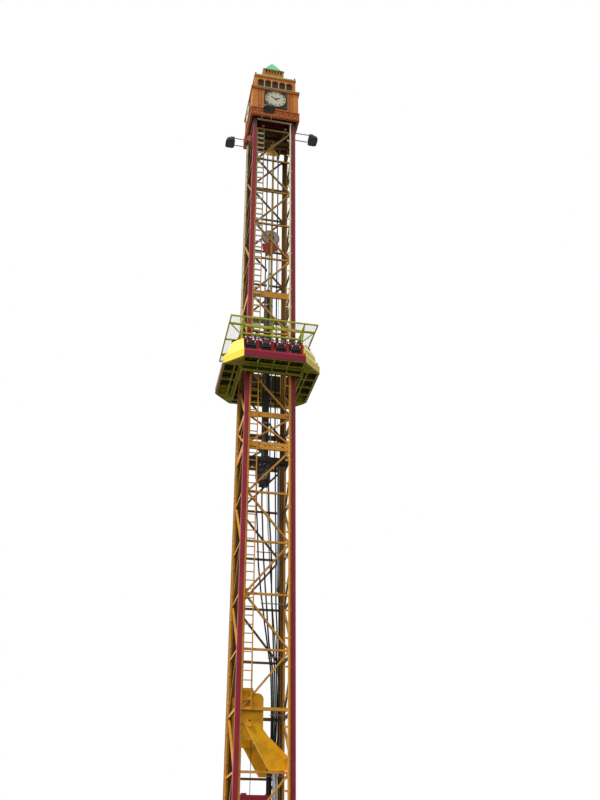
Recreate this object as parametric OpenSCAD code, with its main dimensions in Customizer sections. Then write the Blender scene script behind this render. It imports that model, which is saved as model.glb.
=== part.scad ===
// Drop tower ride: a square lattice mast with a clock-tower head and a gondola
// of four benches that slides up and down round the mast.
// Millimetres, +Z up. The origin lies on the underside of the base frame, at its
// centre. The front is towards -Y.

/* [Mast] */
// Outer width of the square mast
mast_w = 1890; // [1700:10:2100]
// Width of one corner column
column_w = 150; // [120:5:180]
// Height of one lattice bay
bay_h = 1800; // [1700:10:1850]
// Number of bays below the splice
lower_bays = 8; // [6:1:8]
// Number of bays above the splice
upper_bays = 8; // [6:1:9]
// Height of the cross-braced splice bay
splice_h = 1260; // [1000:10:1500]
// Height of the lowest lattice node above the ground
first_node_z = 1240; // [1100:10:1500]
// Thickness of a lattice face
lattice_t = 60; // [40:5:80]
// Depth of a horizontal bar seen from the front
bar_h = 70; // [50:5:100]
// Width of a diagonal bar
brace_w = 56; // [40:2:80]
// Depth of the heavy beams at the splice
splice_beam_h = 300; // [240:10:340]
// Width of the bolted flange strip beside each column
flange_w = 75; // [60:5:100]
// How far the lattice lies behind the face of the columns
lattice_recess = 20; // [10:1:40]

/* [Guide rails and ladder] */
// Width of a guide rail
rail_w = 50; // [40:2:70]
// Depth of a guide rail
rail_d = 40; // [30:2:44]
// Clear gap between a rail and its column
rail_gap = 55; // [40:5:70]
// Length of a rail bracket
rail_bracket_l = 155; // [130:5:180]
// Distance between ladder rungs
rung_pitch = 290; // [250:5:320]
// Width of the ladder over its stiles
ladder_w = 345; // [300:5:380]
// Thickness of a rung
rung_t = 26; // [20:1:32]

/* [Base] */
// Half width of the base frame
base_half = 1080; // [1050:10:1300]
// Height of the base frame beams
base_h = 300; // [240:10:360]
// Width of the perimeter beams
base_beam_w = 360; // [300:10:400]
// Width of the cross beams
base_cross_w = 300; // [240:10:360]
// Side of a corner pad
pad_w = 340; // [320:10:420]
// Thickness of a corner pad and of a column foot plate
pad_t = 40; // [30:2:60]
// Distance of an anchor hole from the centre lines
anchor_off = 1250; // [1240:5:1280]
// Radius of an anchor hole
anchor_r = 22; // [16:1:26]

/* [Raising gear] */
// Thickness of a hinge plate
hinge_plate_t = 30; // [20:2:40]
// Thickness of a lifting arm
arm_t = 36; // [24:2:44]
// Outer radius of the raising cylinder
raise_cyl_r = 85; // [60:5:100]
// Radius of the cross shaft through the lifting arms
cross_shaft_r = 45; // [35:1:55]
// Height of the hinge pins
hinge_z = 6180; // [6100:10:6260]
// Height of the cross shaft
cross_shaft_z = 5060; // [5020:10:5100]
// Height of the support housing inside the mast foot
housing_top_z = 4260; // [3800:10:4400]

/* [Hoist drive] */
// Outer radius of the drive cylinder
drive_cyl_r = 120; // [90:5:150]
// Radius of its ram
ram_r = 55; // [40:5:70]
// Height of the cylinder head, where the ram comes out
cyl_top_z = 23100; // [22600:50:23400]
// Height of the centre of the sheave on the ram
ram_sheave_z = 25950; // [25700:50:26400]
// Radius of the sheave on the ram
ram_sheave_r = 370; // [340:10:390]
// Radius of the four rope sheaves at the ends of the hoist ropes
sheave_r = 160; // [140:5:170]
// Radius of a hoist rope
rope_r = 8; // [6:1:10]
// Radius of a hydraulic hose
hose_r = 28; // [20:1:34]

/* [Gondola] */
// Height of the underside of the seat aprons in the photographed position
gondola_z = 18760; // [17000:10:20000]
// Depth of a bench from its back to the face of its apron
bench_d = 645; // [600:5:715]
// How far a bench ends short of the carriage corner
bench_inset = 30; // [5:5:65]
// Clear gap between the mast and the carriage frame
carriage_gap = 180; // [165:5:205]
// Size of a carriage tube
tube_w = 60; // [50:5:70]
// Width of the canopy outside the carriage frame
canopy_w = 500; // [415:5:565]
// Size of a canopy ring tube
ring_tube = 50; // [40:2:60]
// Height of the canopy ring above the underside of the aprons
ring_rise = 1800; // [1750:10:1900]
// Height of the backrests above the underside of the aprons
back_rise = 1130; // [1080:10:1160]
// Height of the seat pans above the underside of the aprons
pan_rise = 360; // [320:10:400]
// Seats on one bench
seats = 4; // [3:1:5]
// Thickness of the moulded seat shells
shell_t = 50; // [40:2:60]
// Thickness of the divider between two seats
divider_t = 46; // [36:2:60]
// Wall of the moulded corner fairings
fairing_t = 25; // [15:1:40]
// Height of the corner fairings
fairing_h = 1110; // [1050:10:1180]
// Depth of the carriage frame below the aprons
carriage_drop = 210; // [160:10:280]
// Radius of a guide roller
roller_r = 62; // [50:2:64]

/* [Restraints] */
// Radius of the tube on which the restraints turn
pivot_r = 22; // [16:1:28]
// Width of a padded restraint arm
pad_arm_w = 70; // [60:5:90]
// Distance between the two arms of a restraint
pad_arm_pitch = 290; // [260:10:320]

/* [Clock head] */
// Height of the head above the highest lattice node
head_rise = 660; // [600:10:800]
// Clear gap between the columns and the clock walls
wall_gap = 75; // [50:5:115]
// Thickness of the clock walls
wall_t = 40; // [30:2:50]
// Height of the clock stage
stage_h = 1680; // [1600:10:1750]
// Height of the lower band
band_h = 460; // [400:10:500]
// Thickness of the lower band
band_t = 30; // [20:2:40]
// Height of the cornice above the clock stage
cornice_h = 180; // [150:10:220]
// Half width of the arcade
arcade_half = 950; // [920:5:980]
// Height of the arcade
arcade_h = 830; // [760:10:880]
// Height of the parapet over its deck
parapet_h = 125; // [110:5:200]
// Half width of the lantern
lantern_half = 470; // [430:5:500]
// Height of the lantern
lantern_h = 1030; // [960:10:1100]
// Height of the roof above its eaves
roof_h = 1010; // [900:10:1100]
// Radius of a clock dial
dial_r = 465; // [400:5:480]
// Side of the dark panel behind a dial
dial_panel = 1000; // [960:5:1040]

/* [Floodlights] */
// Width of a floodlight housing
lamp_w = 520; // [440:10:560]
// Depth of a floodlight housing
lamp_d = 420; // [360:10:460]
// Height of a floodlight housing
lamp_h = 300; // [280:10:360]
// Radius of a floodlight arm tube
lamp_arm_r = 22; // [16:1:26]

/* [Hidden] */

// Colours
crimson = [0.50, 0.16, 0.17];
ochre = [0.80, 0.55, 0.18];
lime = [0.62, 0.66, 0.16];
fairing_yellow = [0.96, 0.90, 0.35];
maroon = [0.42, 0.07, 0.12];
seat_red = [0.66, 0.07, 0.10];
wall_orange = [0.80, 0.48, 0.20];
trim_red = [0.58, 0.25, 0.14];
stone = [0.76, 0.74, 0.52];
mint = [0.42, 0.76, 0.58];
dark = [0.16, 0.16, 0.15];
steel = [0.55, 0.56, 0.56];
rail_cream = [0.86, 0.80, 0.58];

// Turns of the four sides, seen from above, from the front one
sides = [0, -90, 180, 90];
seat_gap = 0.3;

// Mast
half = mast_w / 2;
column_c = half - column_w / 2;
clear_half = half - column_w;
face_y = half - lattice_recess;
splice_z = first_node_z + lower_bays * bay_h;
upper_z = splice_z + splice_h;
top_node_z = upper_z + upper_bays * bay_h;
head_z = top_node_z + head_rise;
wall_half = half + wall_gap + wall_t;
head_deck_z = head_z + stage_h;
columns_top = head_deck_z;
hole_half = clear_half - flange_w;
heavy_beam_h = 280;
heavy_beam_bay = 3;
hoist_beam_h = 100;

// Lattice nodes from the lowest up, each as height and half depth of its bar
function lower_node(k) = [first_node_z + k * bay_h,
    k == lower_bays ? splice_beam_h / 2 : k == 3 ? hoist_beam_h / 2 : bar_h / 2];
function upper_node(k) = [upper_z + k * bay_h,
    k == 0 ? splice_beam_h / 3 : k == heavy_beam_bay ? heavy_beam_h / 2 : bar_h / 2];
lattice_nodes = concat([for (k = [0:lower_bays]) lower_node(k)],
    [for (k = [0:upper_bays]) upper_node(k)]);

// The two triangles that a diagonal leaves in one bay, rising to the right or to the left
function bay_triangles(z0, z1, rise_right) =
    let (w = 2 * hole_half, h = z1 - z0, s = rise_right ? 1 : -1,
        a = brace_w / 2 * sqrt(1 + pow(h / w, 2)), b = a * w / h)
    [[[-s * hole_half, z0 + a], [-s * hole_half, z1], [s * (hole_half - b), z1]],
     [[-s * (hole_half - b), z0], [s * hole_half, z0], [s * hole_half, z1 - a]]];

// The four triangles that a cross leaves in the splice bay
function cross_triangles(z0, z1) =
    let (w = 2 * hole_half, h = z1 - z0, a = brace_w / 2 * sqrt(1 + pow(h / w, 2)), b = a * w / h,
        zm = (z0 + z1) / 2)
    [[[-hole_half, z0 + a], [-hole_half, z1 - a], [-b, zm]],
     [[hole_half, z0 + a], [b, zm], [hole_half, z1 - a]],
     [[-hole_half + b, z0], [0, zm - a], [hole_half - b, z0]],
     [[-hole_half + b, z1], [hole_half - b, z1], [0, zm + a]]];

// The bay of the front and the back face that the lifting arms fill, without a diagonal
arm_bay = 2;

function bay_holes(i, open_bay) =
    let (n0 = lattice_nodes[i], n1 = lattice_nodes[i + 1], z0 = n0[0] + n0[1], z1 = n1[0] - n1[1])
    i == open_bay ? [[[-hole_half, z0], [hole_half, z0], [hole_half, z1], [-hole_half, z1]]]
    : i == lower_bays ? cross_triangles(z0, z1)
    : bay_triangles(z0, z1, i > lower_bays ? (i - lower_bays) % 2 == 0 : (lower_bays - i) % 2 == 1);

// A row of small holes in the lower splice beam, each an octagon
beam_holes = 9;
beam_hole_r = 30;
function beam_hole(k) = let (x = (k - (beam_holes - 1) / 2) * 2 * hole_half / beam_holes)
    [for (a = [0:7]) [x + beam_hole_r * cos(a * 45 + 22.5), splice_z + beam_hole_r * sin(a * 45 + 22.5)]];

// Base
foot_w = 300;
pad_c = anchor_off - 70;
housing_x = [-700, 250];
housing_y = [-460, 30];

// Rails and ladder
roller_gap = 0.4;
rail_x = clear_half - rail_gap - rail_w / 2;
rail_y = half + rail_d;
rail_z0 = first_node_z - bar_h;
bracket_h = 60;
rail_steps = [0.22, 0.72];
ladder_z0 = lower_node(3)[0] - bar_h / 2;
stile_w = 36;
ladder_x = -(clear_half - 8);

// Hoist drive
rope_fall_out = half + sheave_r - 15;
rope_fall_in = rope_fall_out - 2 * sheave_r;
sheave_x = rope_fall_out - sheave_r;
crown_z = top_node_z + bar_h / 2;
sheave_top_z = crown_z + sheave_r + 60;
sheave_low_z = first_node_z - bar_h / 2 - sheave_r - 60;
cradle_z = splice_z - 260;
cradle_h = 180;
raise_x = 490;
ram_sheave_x = 70;
yoke_drop = 950;

// Gondola
pivot_s = 115;
pivot_rise = back_rise + 30;
ring_z = gondola_z + ring_rise;
carriage_z = gondola_z - carriage_drop;
carriage_half = half + carriage_gap + tube_w;
back_plane = carriage_half + seat_gap;
bench_half = carriage_half - bench_inset;
bench_out = back_plane + bench_d;
ring_half = carriage_half + canopy_w;
canopy_in = carriage_half + 1;
front_beam_rise = 1390;
low_beam_rise = -10;
mesh_pitch = 150;
mesh_bar = 14;
mesh_t = 10;

// Head
cornice_top = head_deck_z + cornice_h;
arcade_top = cornice_top + arcade_h;
deck_t = 70;
lantern_z = arcade_top + deck_t;
eave_z = lantern_z + lantern_h;
eave_t = 30;

module on_side(k) {
    rotate([0, 0, sides[k]]) children();
}

// A flat outline in X and Z, stood up with its outer face at y = -out
module upright(out, t) {
    translate([0, -out + t, 0]) rotate([90, 0, 0]) linear_extrude(t) children();
}

// A side outline in outward distance and height, run along X
module along_x(length) {
    rotate([90, 0, -90]) translate([0, 0, -length / 2]) linear_extrude(length) children();
}

module box(x0, x1, y0, y1, z0, z1) {
    translate([x0, y0, z0]) cube([x1 - x0, y1 - y0, z1 - z0]);
}

// A square ring, flat on the ground plane
module square_ring(outer, inner) {
    difference() {
        square(2 * outer, center = true);
        square(2 * inner, center = true);
    }
}

module base_frame() {
    inner = base_half - base_beam_w;
    color(dark) difference() {
        union() {
            linear_extrude(base_h) union() {
                square_ring(base_half, inner);
                square([2 * base_half, base_cross_w], center = true);
                square([base_cross_w, 2 * base_half], center = true);
            }
            for (sx = [-1, 1], sy = [-1, 1])
                translate([sx * pad_c, sy * pad_c, 0]) linear_extrude(pad_t) square(pad_w, center = true);
        }
        for (sx = [-1, 1], sy = [-1, 1])
            translate([sx * anchor_off, sy * anchor_off, -1]) cylinder(h = pad_t + 2, r = anchor_r, $fn = 48);
    }
}

module support_housing() {
    cap_r = 90;
    color(crimson) union() {
        box(housing_x[0], housing_x[1], housing_y[0], housing_y[1], base_h, housing_top_z);
        translate([housing_x[0] + 2 * cap_r, housing_y[0] + 2 * cap_r, housing_top_z])
            cylinder(h = 60, r = cap_r, $fn = 32);
    }
}

// Two columns of one side of the mast, each on its foot plate
module columns(sy) {
    for (sx = [-1, 1]) {
        translate([sx * column_c, sy * column_c, base_h]) {
            linear_extrude(pad_t) square(foot_w, center = true);
            linear_extrude(columns_top - base_h) square(column_w, center = true);
        }
    }
}

module front_columns() {
    color(crimson) columns(-1);
}

module back_columns() {
    color(ochre) columns(1);
}

// One flat side of the mast: flange strips, horizontals and the zigzag, with its holes
module lattice_face(open_bay) {
    z_low = first_node_z - bar_h / 2;
    z_high = top_node_z + bar_h / 2;
    frame = [[-clear_half, z_low], [clear_half, z_low], [clear_half, z_high], [-clear_half, z_high]];
    bays = [for (i = [0:len(lattice_nodes) - 2]) each bay_holes(i, open_bay)];
    rings = concat(bays, [for (k = [0:beam_holes - 1]) beam_hole(k)]);
    starts = [for (i = 0, n = 4; i < len(rings); n = n + len(rings[i]), i = i + 1) n];
    upright(face_y, lattice_t) polygon(points = concat(frame, [for (r = rings) each r]),
        paths = concat([[0, 1, 2, 3]],
            [for (i = [0:len(rings) - 1]) [for (j = [0:len(rings[i]) - 1]) starts[i] + j]]));
}

module front_lattice() {
    color(ochre) on_side(0) lattice_face(arm_bay);
}

module left_lattice() {
    color(ochre) on_side(1) lattice_face(-1);
}

module back_lattice() {
    color(ochre) on_side(2) mirror([1, 0, 0]) lattice_face(arm_bay);
}

module right_lattice() {
    color(ochre) on_side(3) mirror([1, 0, 0]) lattice_face(-1);
}

// One rail on brackets, beside the right-hand column of the front face
module guide_rail() {
    x0 = rail_x - rail_w / 2;
    x1 = rail_x + rail_w / 2;
    bx0 = clear_half - rail_bracket_l;
    steps = [for (n = lattice_nodes, f = rail_steps) n[0] + f * bay_h];
    levels = [for (z = steps) if (z < top_node_z - bracket_h) z];
    teeth_up = [for (z = levels) each [[x1, z - bracket_h / 2], [clear_half, z - bracket_h / 2],
        [clear_half, z + bracket_h / 2], [x1, z + bracket_h / 2]]];
    count = len(levels);
    teeth_down = [for (i = [count - 1:-1:0]) each [[x0, levels[i] + bracket_h / 2],
        [bx0, levels[i] + bracket_h / 2], [bx0, levels[i] - bracket_h / 2],
        [x0, levels[i] - bracket_h / 2]]];
    outline = concat([[x0, rail_z0], [x1, rail_z0]], teeth_up,
        [[x1, rail_top], [x0, rail_top]], teeth_down);
    union() {
        upright(half, lattice_recess) polygon(outline);
        box(x0, x1, -rail_y, -half, rail_z0, rail_top);
    }
}

// Rails on both faces of the front right and the back left column
module guide_rails() {
    color(rail_cream) for (turn = [0, 180]) rotate([0, 0, turn]) {
        guide_rail();
        mirror([1, 1, 0]) guide_rail();
    }
}

module ladder() {
    x0 = ladder_x;
    x1 = ladder_x + ladder_w;
    rungs = floor((top_node_z - ladder_z0) / rung_pitch);
    gaps = [for (i = [0:rungs - 1]) let (z = ladder_z0 + i * rung_pitch)
        [[x0 + stile_w, z + rung_t / 2], [x1 - stile_w, z + rung_t / 2],
         [x1 - stile_w, z + rung_pitch - rung_t / 2], [x0 + stile_w, z + rung_pitch - rung_t / 2]]];
    z1 = ladder_z0 + rungs * rung_pitch + rung_t / 2;
    frame = [[x0, ladder_z0 - rung_t / 2], [x1, ladder_z0 - rung_t / 2], [x1, z1], [x0, z1]];
    color(ochre) upright(face_y + stile_w, stile_w) polygon(points = concat(frame, [for (g = gaps) each g]),
        paths = concat([[0, 1, 2, 3]], [for (i = [0:rungs - 1]) [for (j = [0:3]) 4 + 4 * i + j]]));
}

// The chamfered plates behind the lifting arms, which hold their hinge pins
module hinge_plates() {
    z0 = hinge_z - 440;
    z1 = hinge_z + 1080;
    x1 = -50;
    shoulder = 145;
    out = face_y - lattice_t - arm_t;
    color(ochre) for (k = [0, 2]) on_side(k) mirror([k == 2 ? 1 : 0, 0, 0])
        upright(out, hinge_plate_t) polygon([[-clear_half, z0], [x1, z0], [x1, z1 - 2 * shoulder],
            [x1 - 40, z1 - shoulder - 65], [x1 - 110, z1 - shoulder - 10], [x1 - 300, z1 - shoulder],
            [x1 - 340, z1], [-clear_half, z1]]);
}

// Two big plates that lean across the mast behind its lattice, with the shaft between them
module lifting_arms() {
    out = face_y - lattice_t;
    x_low = clear_half - 5;
    hinge_x = -484;
    boss_h = 50;
    shaft_l = 2 * (out - arm_t - seat_gap);
    color(ochre) {
        for (k = [0, 2]) on_side(k) mirror([k == 2 ? 1 : 0, 0, 0]) union() {
            upright(out, arm_t) polygon([[-clear_half + 60, hinge_z + 140], [-453, hinge_z + 150],
                [-203, hinge_z + 66], [112, hinge_z - 330], [x_low, cross_shaft_z + 180],
                [x_low, cross_shaft_z - 160], [125, cross_shaft_z - 170]]);
            translate([hinge_x, -out + arm_t / 2, hinge_z]) rotate([90, 0, 0])
                cylinder(h = boss_h + arm_t / 2, r = 1.6 * cross_shaft_r, $fn = 48);
        }
        translate([raise_x, shaft_l / 2, cross_shaft_z]) rotate([90, 0, 0])
            cylinder(h = shaft_l, r = cross_shaft_r, $fn = 48);
    }
}

module raise_cylinder() {
    eye_h = 150;
    eye_w = 120;
    body_top = cross_shaft_z - eye_h;
    color(steel) difference() {
        union() {
            translate([raise_x, 0, base_h]) cylinder(h = body_top - base_h, r = raise_cyl_r, $fn = 48);
            box(raise_x - 70, raise_x + 70, -eye_w / 2, eye_w / 2, body_top - 10, cross_shaft_z + 70);
        }
        translate([raise_x, eye_w, cross_shaft_z]) rotate([90, 0, 0])
            cylinder(h = 2 * eye_w, r = cross_shaft_r + 0.5, $fn = 48);
    }
}

// Beams across the mast under the drive cylinder, with the valve block
module drive_cradle() {
    reach = face_y - lattice_t;
    beam = [80, 200];
    anchor_x = [ram_sheave_x - ram_sheave_r - 60, ram_sheave_x + ram_sheave_r + 60];
    top = cradle_z + cradle_h;
    block_half = 180;
    block_h = 560;
    block_foot_h = 340;
    color(dark) union() {
        for (s = [-1, 1])
            box(-reach, reach, min(s * beam[0], s * beam[1]), max(s * beam[0], s * beam[1]), cradle_z, top);
        box(anchor_x[0], anchor_x[1], -beam[0], beam[0], cradle_z, top);
        box(-320, 170, -block_half, block_half, cradle_z - block_h, cradle_z);
        box(-200, 120, -block_half, block_half - 40, cradle_z - block_h - block_foot_h, cradle_z - block_h);
    }
}

module drive_cylinder() {
    z0 = cradle_z + cradle_h;
    flange_h = 60;
    color(dark) union() {
        translate([0, 0, z0]) cylinder(h = flange_h, r = drive_cyl_r + 50, $fn = 48);
        translate([0, 0, z0]) cylinder(h = cyl_top_z - z0, r = drive_cyl_r, $fn = 48);
        translate([0, 0, cyl_top_z - 160]) cylinder(h = 160, r = drive_cyl_r + 25, $fn = 48);
    }
}

module drive_ram() {
    color(steel) translate([0, 0, cyl_top_z])
        cylinder(h = ram_sheave_z - yoke_drop - cyl_top_z, r = ram_r, $fn = 48);
}

// A grooved wheel, its axle along Y
module sheave(r, w) {
    rim = r + rope_r;
    seat = r - rope_r - seat_gap;
    rotate([90, 0, 0]) rotate_extrude($fn = 96)
        polygon([[0, -w / 2], [rim, -w / 2], [rim, -w / 2 + 8], [seat, -rope_r],
            [seat, rope_r], [rim, w / 2 - 8], [rim, w / 2], [0, w / 2]]);
}

// The wheel on the ram, in a yoke that widens upwards, with a strap over each end of its pin
module ram_sheave() {
    w = 70;
    strap_t = 20;
    strap_out = w / 2 + 2.5 + strap_t;
    yoke_top = ram_sheave_r + rope_r + 12;
    yoke_half = ram_sheave_r - rope_r - 12;
    color(trim_red) translate([ram_sheave_x, 0, ram_sheave_z]) union() {
        sheave(ram_sheave_r, w);
        translate([0, strap_out, 0]) rotate([90, 0, 0]) linear_extrude(2 * strap_out)
            polygon([[-ram_sheave_x - 90, -yoke_drop], [-ram_sheave_x + 90, -yoke_drop],
                [yoke_half - 20, -yoke_top - 150], [yoke_half, -yoke_top], [-yoke_half, -yoke_top],
                [20 - yoke_half, -yoke_top - 200]]);
        for (s = [-1, 1]) translate([0, s * (strap_out - strap_t / 2) + strap_t / 2, 0])
            rotate([90, 0, 0]) linear_extrude(strap_t)
                polygon([[-110, -yoke_top - 20], [110, -yoke_top - 20], [70, 70], [-70, 70]]);
        translate([0, strap_out + 10, 0]) rotate([90, 0, 0])
            cylinder(h = 2 * strap_out + 20, r = 40, $fn = 48);
    }
}

// The wheels at the top and the foot of the two hoist ropes, with their cheek plates
module rope_sheaves() {
    w = 50;
    cheek_t = 16;
    hub_w = w + 2 * cheek_t + 8;
    color(trim_red) for (s = [-1, 1], top = [0, 1]) {
        z = top == 1 ? sheave_top_z : sheave_low_z;
        z_seat = top == 1 ? crown_z : base_h;
        translate([s * sheave_x, 0, 0]) union() {
            translate([0, 0, z]) sheave(sheave_r, w);
            for (e = [-1, 1]) translate([-60, e * (w / 2 + 4 + cheek_t / 2) - cheek_t / 2, 0])
                box(0, 120, 0, cheek_t, top == 1 ? z - sheave_r - 60 : z_seat, z + 60);
            translate([0, hub_w / 2, z]) rotate([90, 0, 0]) cylinder(h = hub_w, r = 35, $fn = 48);
        }
    }
}

// Beams on the top of the mast that carry the upper sheaves, with a hanger plate that widens downwards
module crown_frame() {
    reach = face_y;
    z = crown_z;
    beam = 100;
    hanger_t = 25;
    beam_x = 500;
    neck_h = 305;
    hanger_h = 705;
    color(ochre) union() {
        for (s = [-1, 1]) box(-reach, reach, s * 130 - beam / 2, s * 130 + beam / 2, z, z + beam);
        for (s = [-1, 1])
            box(s * beam_x - beam / 2, s * beam_x + beam / 2, -reach, reach, z + beam - 10, z + 2 * beam);
        translate([ram_sheave_x, 0, z]) upright(130 - beam / 2, hanger_t)
            polygon([[-90, beam], [-90, -neck_h], [-310, -hanger_h], [310, -hanger_h],
                [90, -neck_h], [90, beam]]);
    }
}

// A closed loop of rope over an upper and a lower sheave
module rope_loop() {
    for (x = [rope_fall_in, rope_fall_out])
        translate([x, 0, sheave_low_z]) cylinder(h = sheave_top_z - sheave_low_z, r = rope_r, $fn = 24);
    translate([sheave_x, 0, sheave_top_z]) rotate([90, 0, 0])
        rotate_extrude(angle = 180, $fn = 96) translate([sheave_r, 0]) circle(r = rope_r, $fn = 24);
    translate([sheave_x, 0, sheave_low_z]) rotate([-90, 0, 0])
        rotate_extrude(angle = 180, $fn = 96) translate([sheave_r, 0]) circle(r = rope_r, $fn = 24);
}

// The rope over the wheel on the ram, and two straight falls from the cradle to the crown beams
module drive_ropes() {
    low = cradle_z + cradle_h;
    fall = [141, -150];
    for (x = [-ram_sheave_r, ram_sheave_r])
        translate([ram_sheave_x + x, 0, low]) cylinder(h = ram_sheave_z - low, r = rope_r, $fn = 24);
    translate([ram_sheave_x, 0, ram_sheave_z]) rotate([90, 0, 0])
        rotate_extrude(angle = 180, $fn = 96) translate([ram_sheave_r, 0]) circle(r = rope_r, $fn = 24);
    for (s = [-1, 1])
        translate([s * fall[0], fall[1], low]) cylinder(h = crown_z - low, r = rope_r, $fn = 24);
}

module hoist_ropes() {
    color(dark) {
        for (s = [0, 180]) rotate([0, 0, s]) rope_loop();
        drive_ropes();
    }
}

module hose_bundle() {
    hoses = 4;
    pitch = 2 * hose_r + 4;
    x0 = 220;
    y0 = 90;
    clamp_y = y0 + hose_r - 6;
    clamp_half = 20;
    reach = face_y - lattice_t;
    color(dark) union() {
        for (i = [0:hoses - 1])
            translate([x0 + i * pitch, y0, base_h])
                cylinder(h = cradle_z - base_h, r = hose_r, $fn = 24);
        for (k = [1:lower_bays - 1])
            box(x0 - hose_r, reach, clamp_y, clamp_y + 26,
                first_node_z + k * bay_h - clamp_half, first_node_z + k * bay_h + clamp_half);
    }
}

// The four walls of the clock stage, with grooves beside the panels
module clock_walls() {
    groove_x = [wall_half - 420, wall_half - 350, wall_half - 280];
    groove_w = 26;
    groove_d = 15;
    color(wall_orange) for (k = [0:3]) on_side(k) translate([0, 0, head_z]) linear_extrude(stage_h) {
        reach = k % 2 == 0 ? wall_half : wall_half - wall_t - seat_gap;
        difference() {
            translate([-reach, -wall_half]) square([2 * reach, wall_t]);
            for (s = [-1, 1], x = groove_x)
                translate([s * x, -wall_half]) square([groove_w, 2 * groove_d], center = true);
        }
    }
}

// The band round the foot of the clock stage, pierced by lozenges
module lower_band() {
    count = 7;
    w = 110;
    h = 140;
    outer = wall_half + band_t;
    pitch = 2 * wall_half / count;
    z = head_z + band_h / 2 - 10;
    color(trim_red) for (k = [0:3]) on_side(k) {
        reach = k % 2 == 0 ? outer : wall_half - seat_gap;
        frame = [[-reach, head_z], [reach, head_z], [reach, head_z + band_h], [-reach, head_z + band_h]];
        diamonds = [for (i = [0:count - 1]) let (x = (i - (count - 1) / 2) * pitch)
            [[x - w, z], [x, z - h], [x + w, z], [x, z + h]]];
        upright(outer, band_t) polygon(points = concat(frame, [for (d = diamonds) each d]),
            paths = concat([[0, 1, 2, 3]], [for (i = [0:count - 1]) [for (j = [0:3]) 4 + 4 * i + j]]));
    }
}

// The stepped deck that closes the clock stage and carries the arcade
module cornice() {
    steps = [[wall_half + 20, 0.35], [wall_half + 50, 0.4], [wall_half + 30, 0.25]];
    color(trim_red) union() {
        translate([0, 0, head_deck_z]) linear_extrude(cornice_h * steps[0][1])
            square(2 * steps[0][0], center = true);
        translate([0, 0, head_deck_z + cornice_h * steps[0][1]]) linear_extrude(cornice_h * steps[1][1])
            square(2 * steps[1][0], center = true);
        translate([0, 0, head_deck_z + cornice_h * (1 - steps[2][1])]) linear_extrude(cornice_h * steps[2][1])
            square(2 * steps[2][0], center = true);
    }
}

arches = 5;
arch_w = 270;
arch_pitch = 330;
arch_rise = 40;
arch_h = 560;
arch_facets = 12;

// One arched opening, from its sill up
function arch(x, z) = concat([[x - arch_w / 2, z], [x + arch_w / 2, z]],
    [for (i = [0:arch_facets]) let (a = i * 180 / arch_facets)
        [x + arch_w / 2 * cos(a), z + arch_h - arch_w / 2 + arch_w / 2 * sin(a)]]);

module arcade() {
    t = 60;
    z0 = cornice_top;
    color(wall_orange) for (k = [0:3]) on_side(k) {
        reach = k % 2 == 0 ? arcade_half : arcade_half - t - seat_gap;
        frame = [[-reach, z0], [reach, z0], [reach, arcade_top], [-reach, arcade_top]];
        holes = [for (i = [0:arches - 1]) arch((i - (arches - 1) / 2) * arch_pitch, z0 + arch_rise)];
        n = len(holes[0]);
        upright(arcade_half, t) polygon(points = concat(frame, [for (h = holes) each h]),
            paths = concat([[0, 1, 2, 3]], [for (i = [0:arches - 1]) [for (j = [0:n - 1]) 4 + n * i + j]]));
    }
}

// A square pyramid made of two crossed prisms
module pyramid(r, h) {
    intersection_for(turn = [0, 90]) rotate([0, 0, turn]) rotate([90, 0, 0])
        translate([0, 0, -r]) linear_extrude(2 * r) polygon([[-r, 0], [r, 0], [0, h]]);
}

// The deck over the arcade, its low wall and four corner pinnacles
module parapet() {
    t = 50;
    pin = 30;
    pin_h = 60;
    corner = arcade_half - pin;
    color(stone) union() {
        translate([0, 0, arcade_top]) linear_extrude(deck_t) square(2 * (arcade_half + 25), center = true);
        translate([0, 0, arcade_top + deck_t]) linear_extrude(parapet_h - deck_t)
            square_ring(arcade_half - 10, arcade_half - 10 - t);
        for (sx = [-1, 1], sy = [-1, 1]) translate([sx * corner, sy * corner, arcade_top + deck_t]) {
            linear_extrude(parapet_h - deck_t + pin_h) square(2 * pin, center = true);
            translate([0, 0, parapet_h - deck_t + pin_h]) pyramid(pin, 2 * pin);
        }
    }
}

module lantern() {
    t = 50;
    count = 6;
    slot_w = 80;
    slot_h = 190;
    pitch = 2 * (lantern_half - t) / count;
    z0 = eave_z - slot_h - 60;
    color(wall_orange) for (k = [0:3]) on_side(k) {
        reach = k % 2 == 0 ? lantern_half : lantern_half - t - seat_gap;
        frame = [[-reach, lantern_z], [reach, lantern_z], [reach, eave_z], [-reach, eave_z]];
        slots = [for (i = [0:count - 1]) let (x = (i - (count - 1) / 2) * pitch)
            [[x - slot_w / 2, z0], [x + slot_w / 2, z0],
             [x + slot_w / 2, z0 + slot_h], [x - slot_w / 2, z0 + slot_h]]];
        upright(lantern_half, t) polygon(points = concat(frame, [for (s = slots) each s]),
            paths = concat([[0, 1, 2, 3]], [for (i = [0:count - 1]) [for (j = [0:3]) 4 + 4 * i + j]]));
    }
}

module roof() {
    eave_half = lantern_half - 30;
    color(mint) translate([0, 0, eave_z]) union() {
        linear_extrude(eave_t) square(2 * eave_half, center = true);
        translate([0, 0, eave_t]) pyramid(eave_half - 10, roof_h - eave_t);
    }
}

dial_gap = 40;
dial_z = head_z + stage_h - dial_panel / 2 - dial_gap;
panel_t = 24;
disc_t = 20;

module dial_panels() {
    color(dark) for (k = [0:3]) on_side(k)
        box(-dial_panel / 2, dial_panel / 2, -wall_half - panel_t, -wall_half, dial_z - dial_panel / 2 + 10,
            dial_z + dial_panel / 2 - 10);
}

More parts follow.
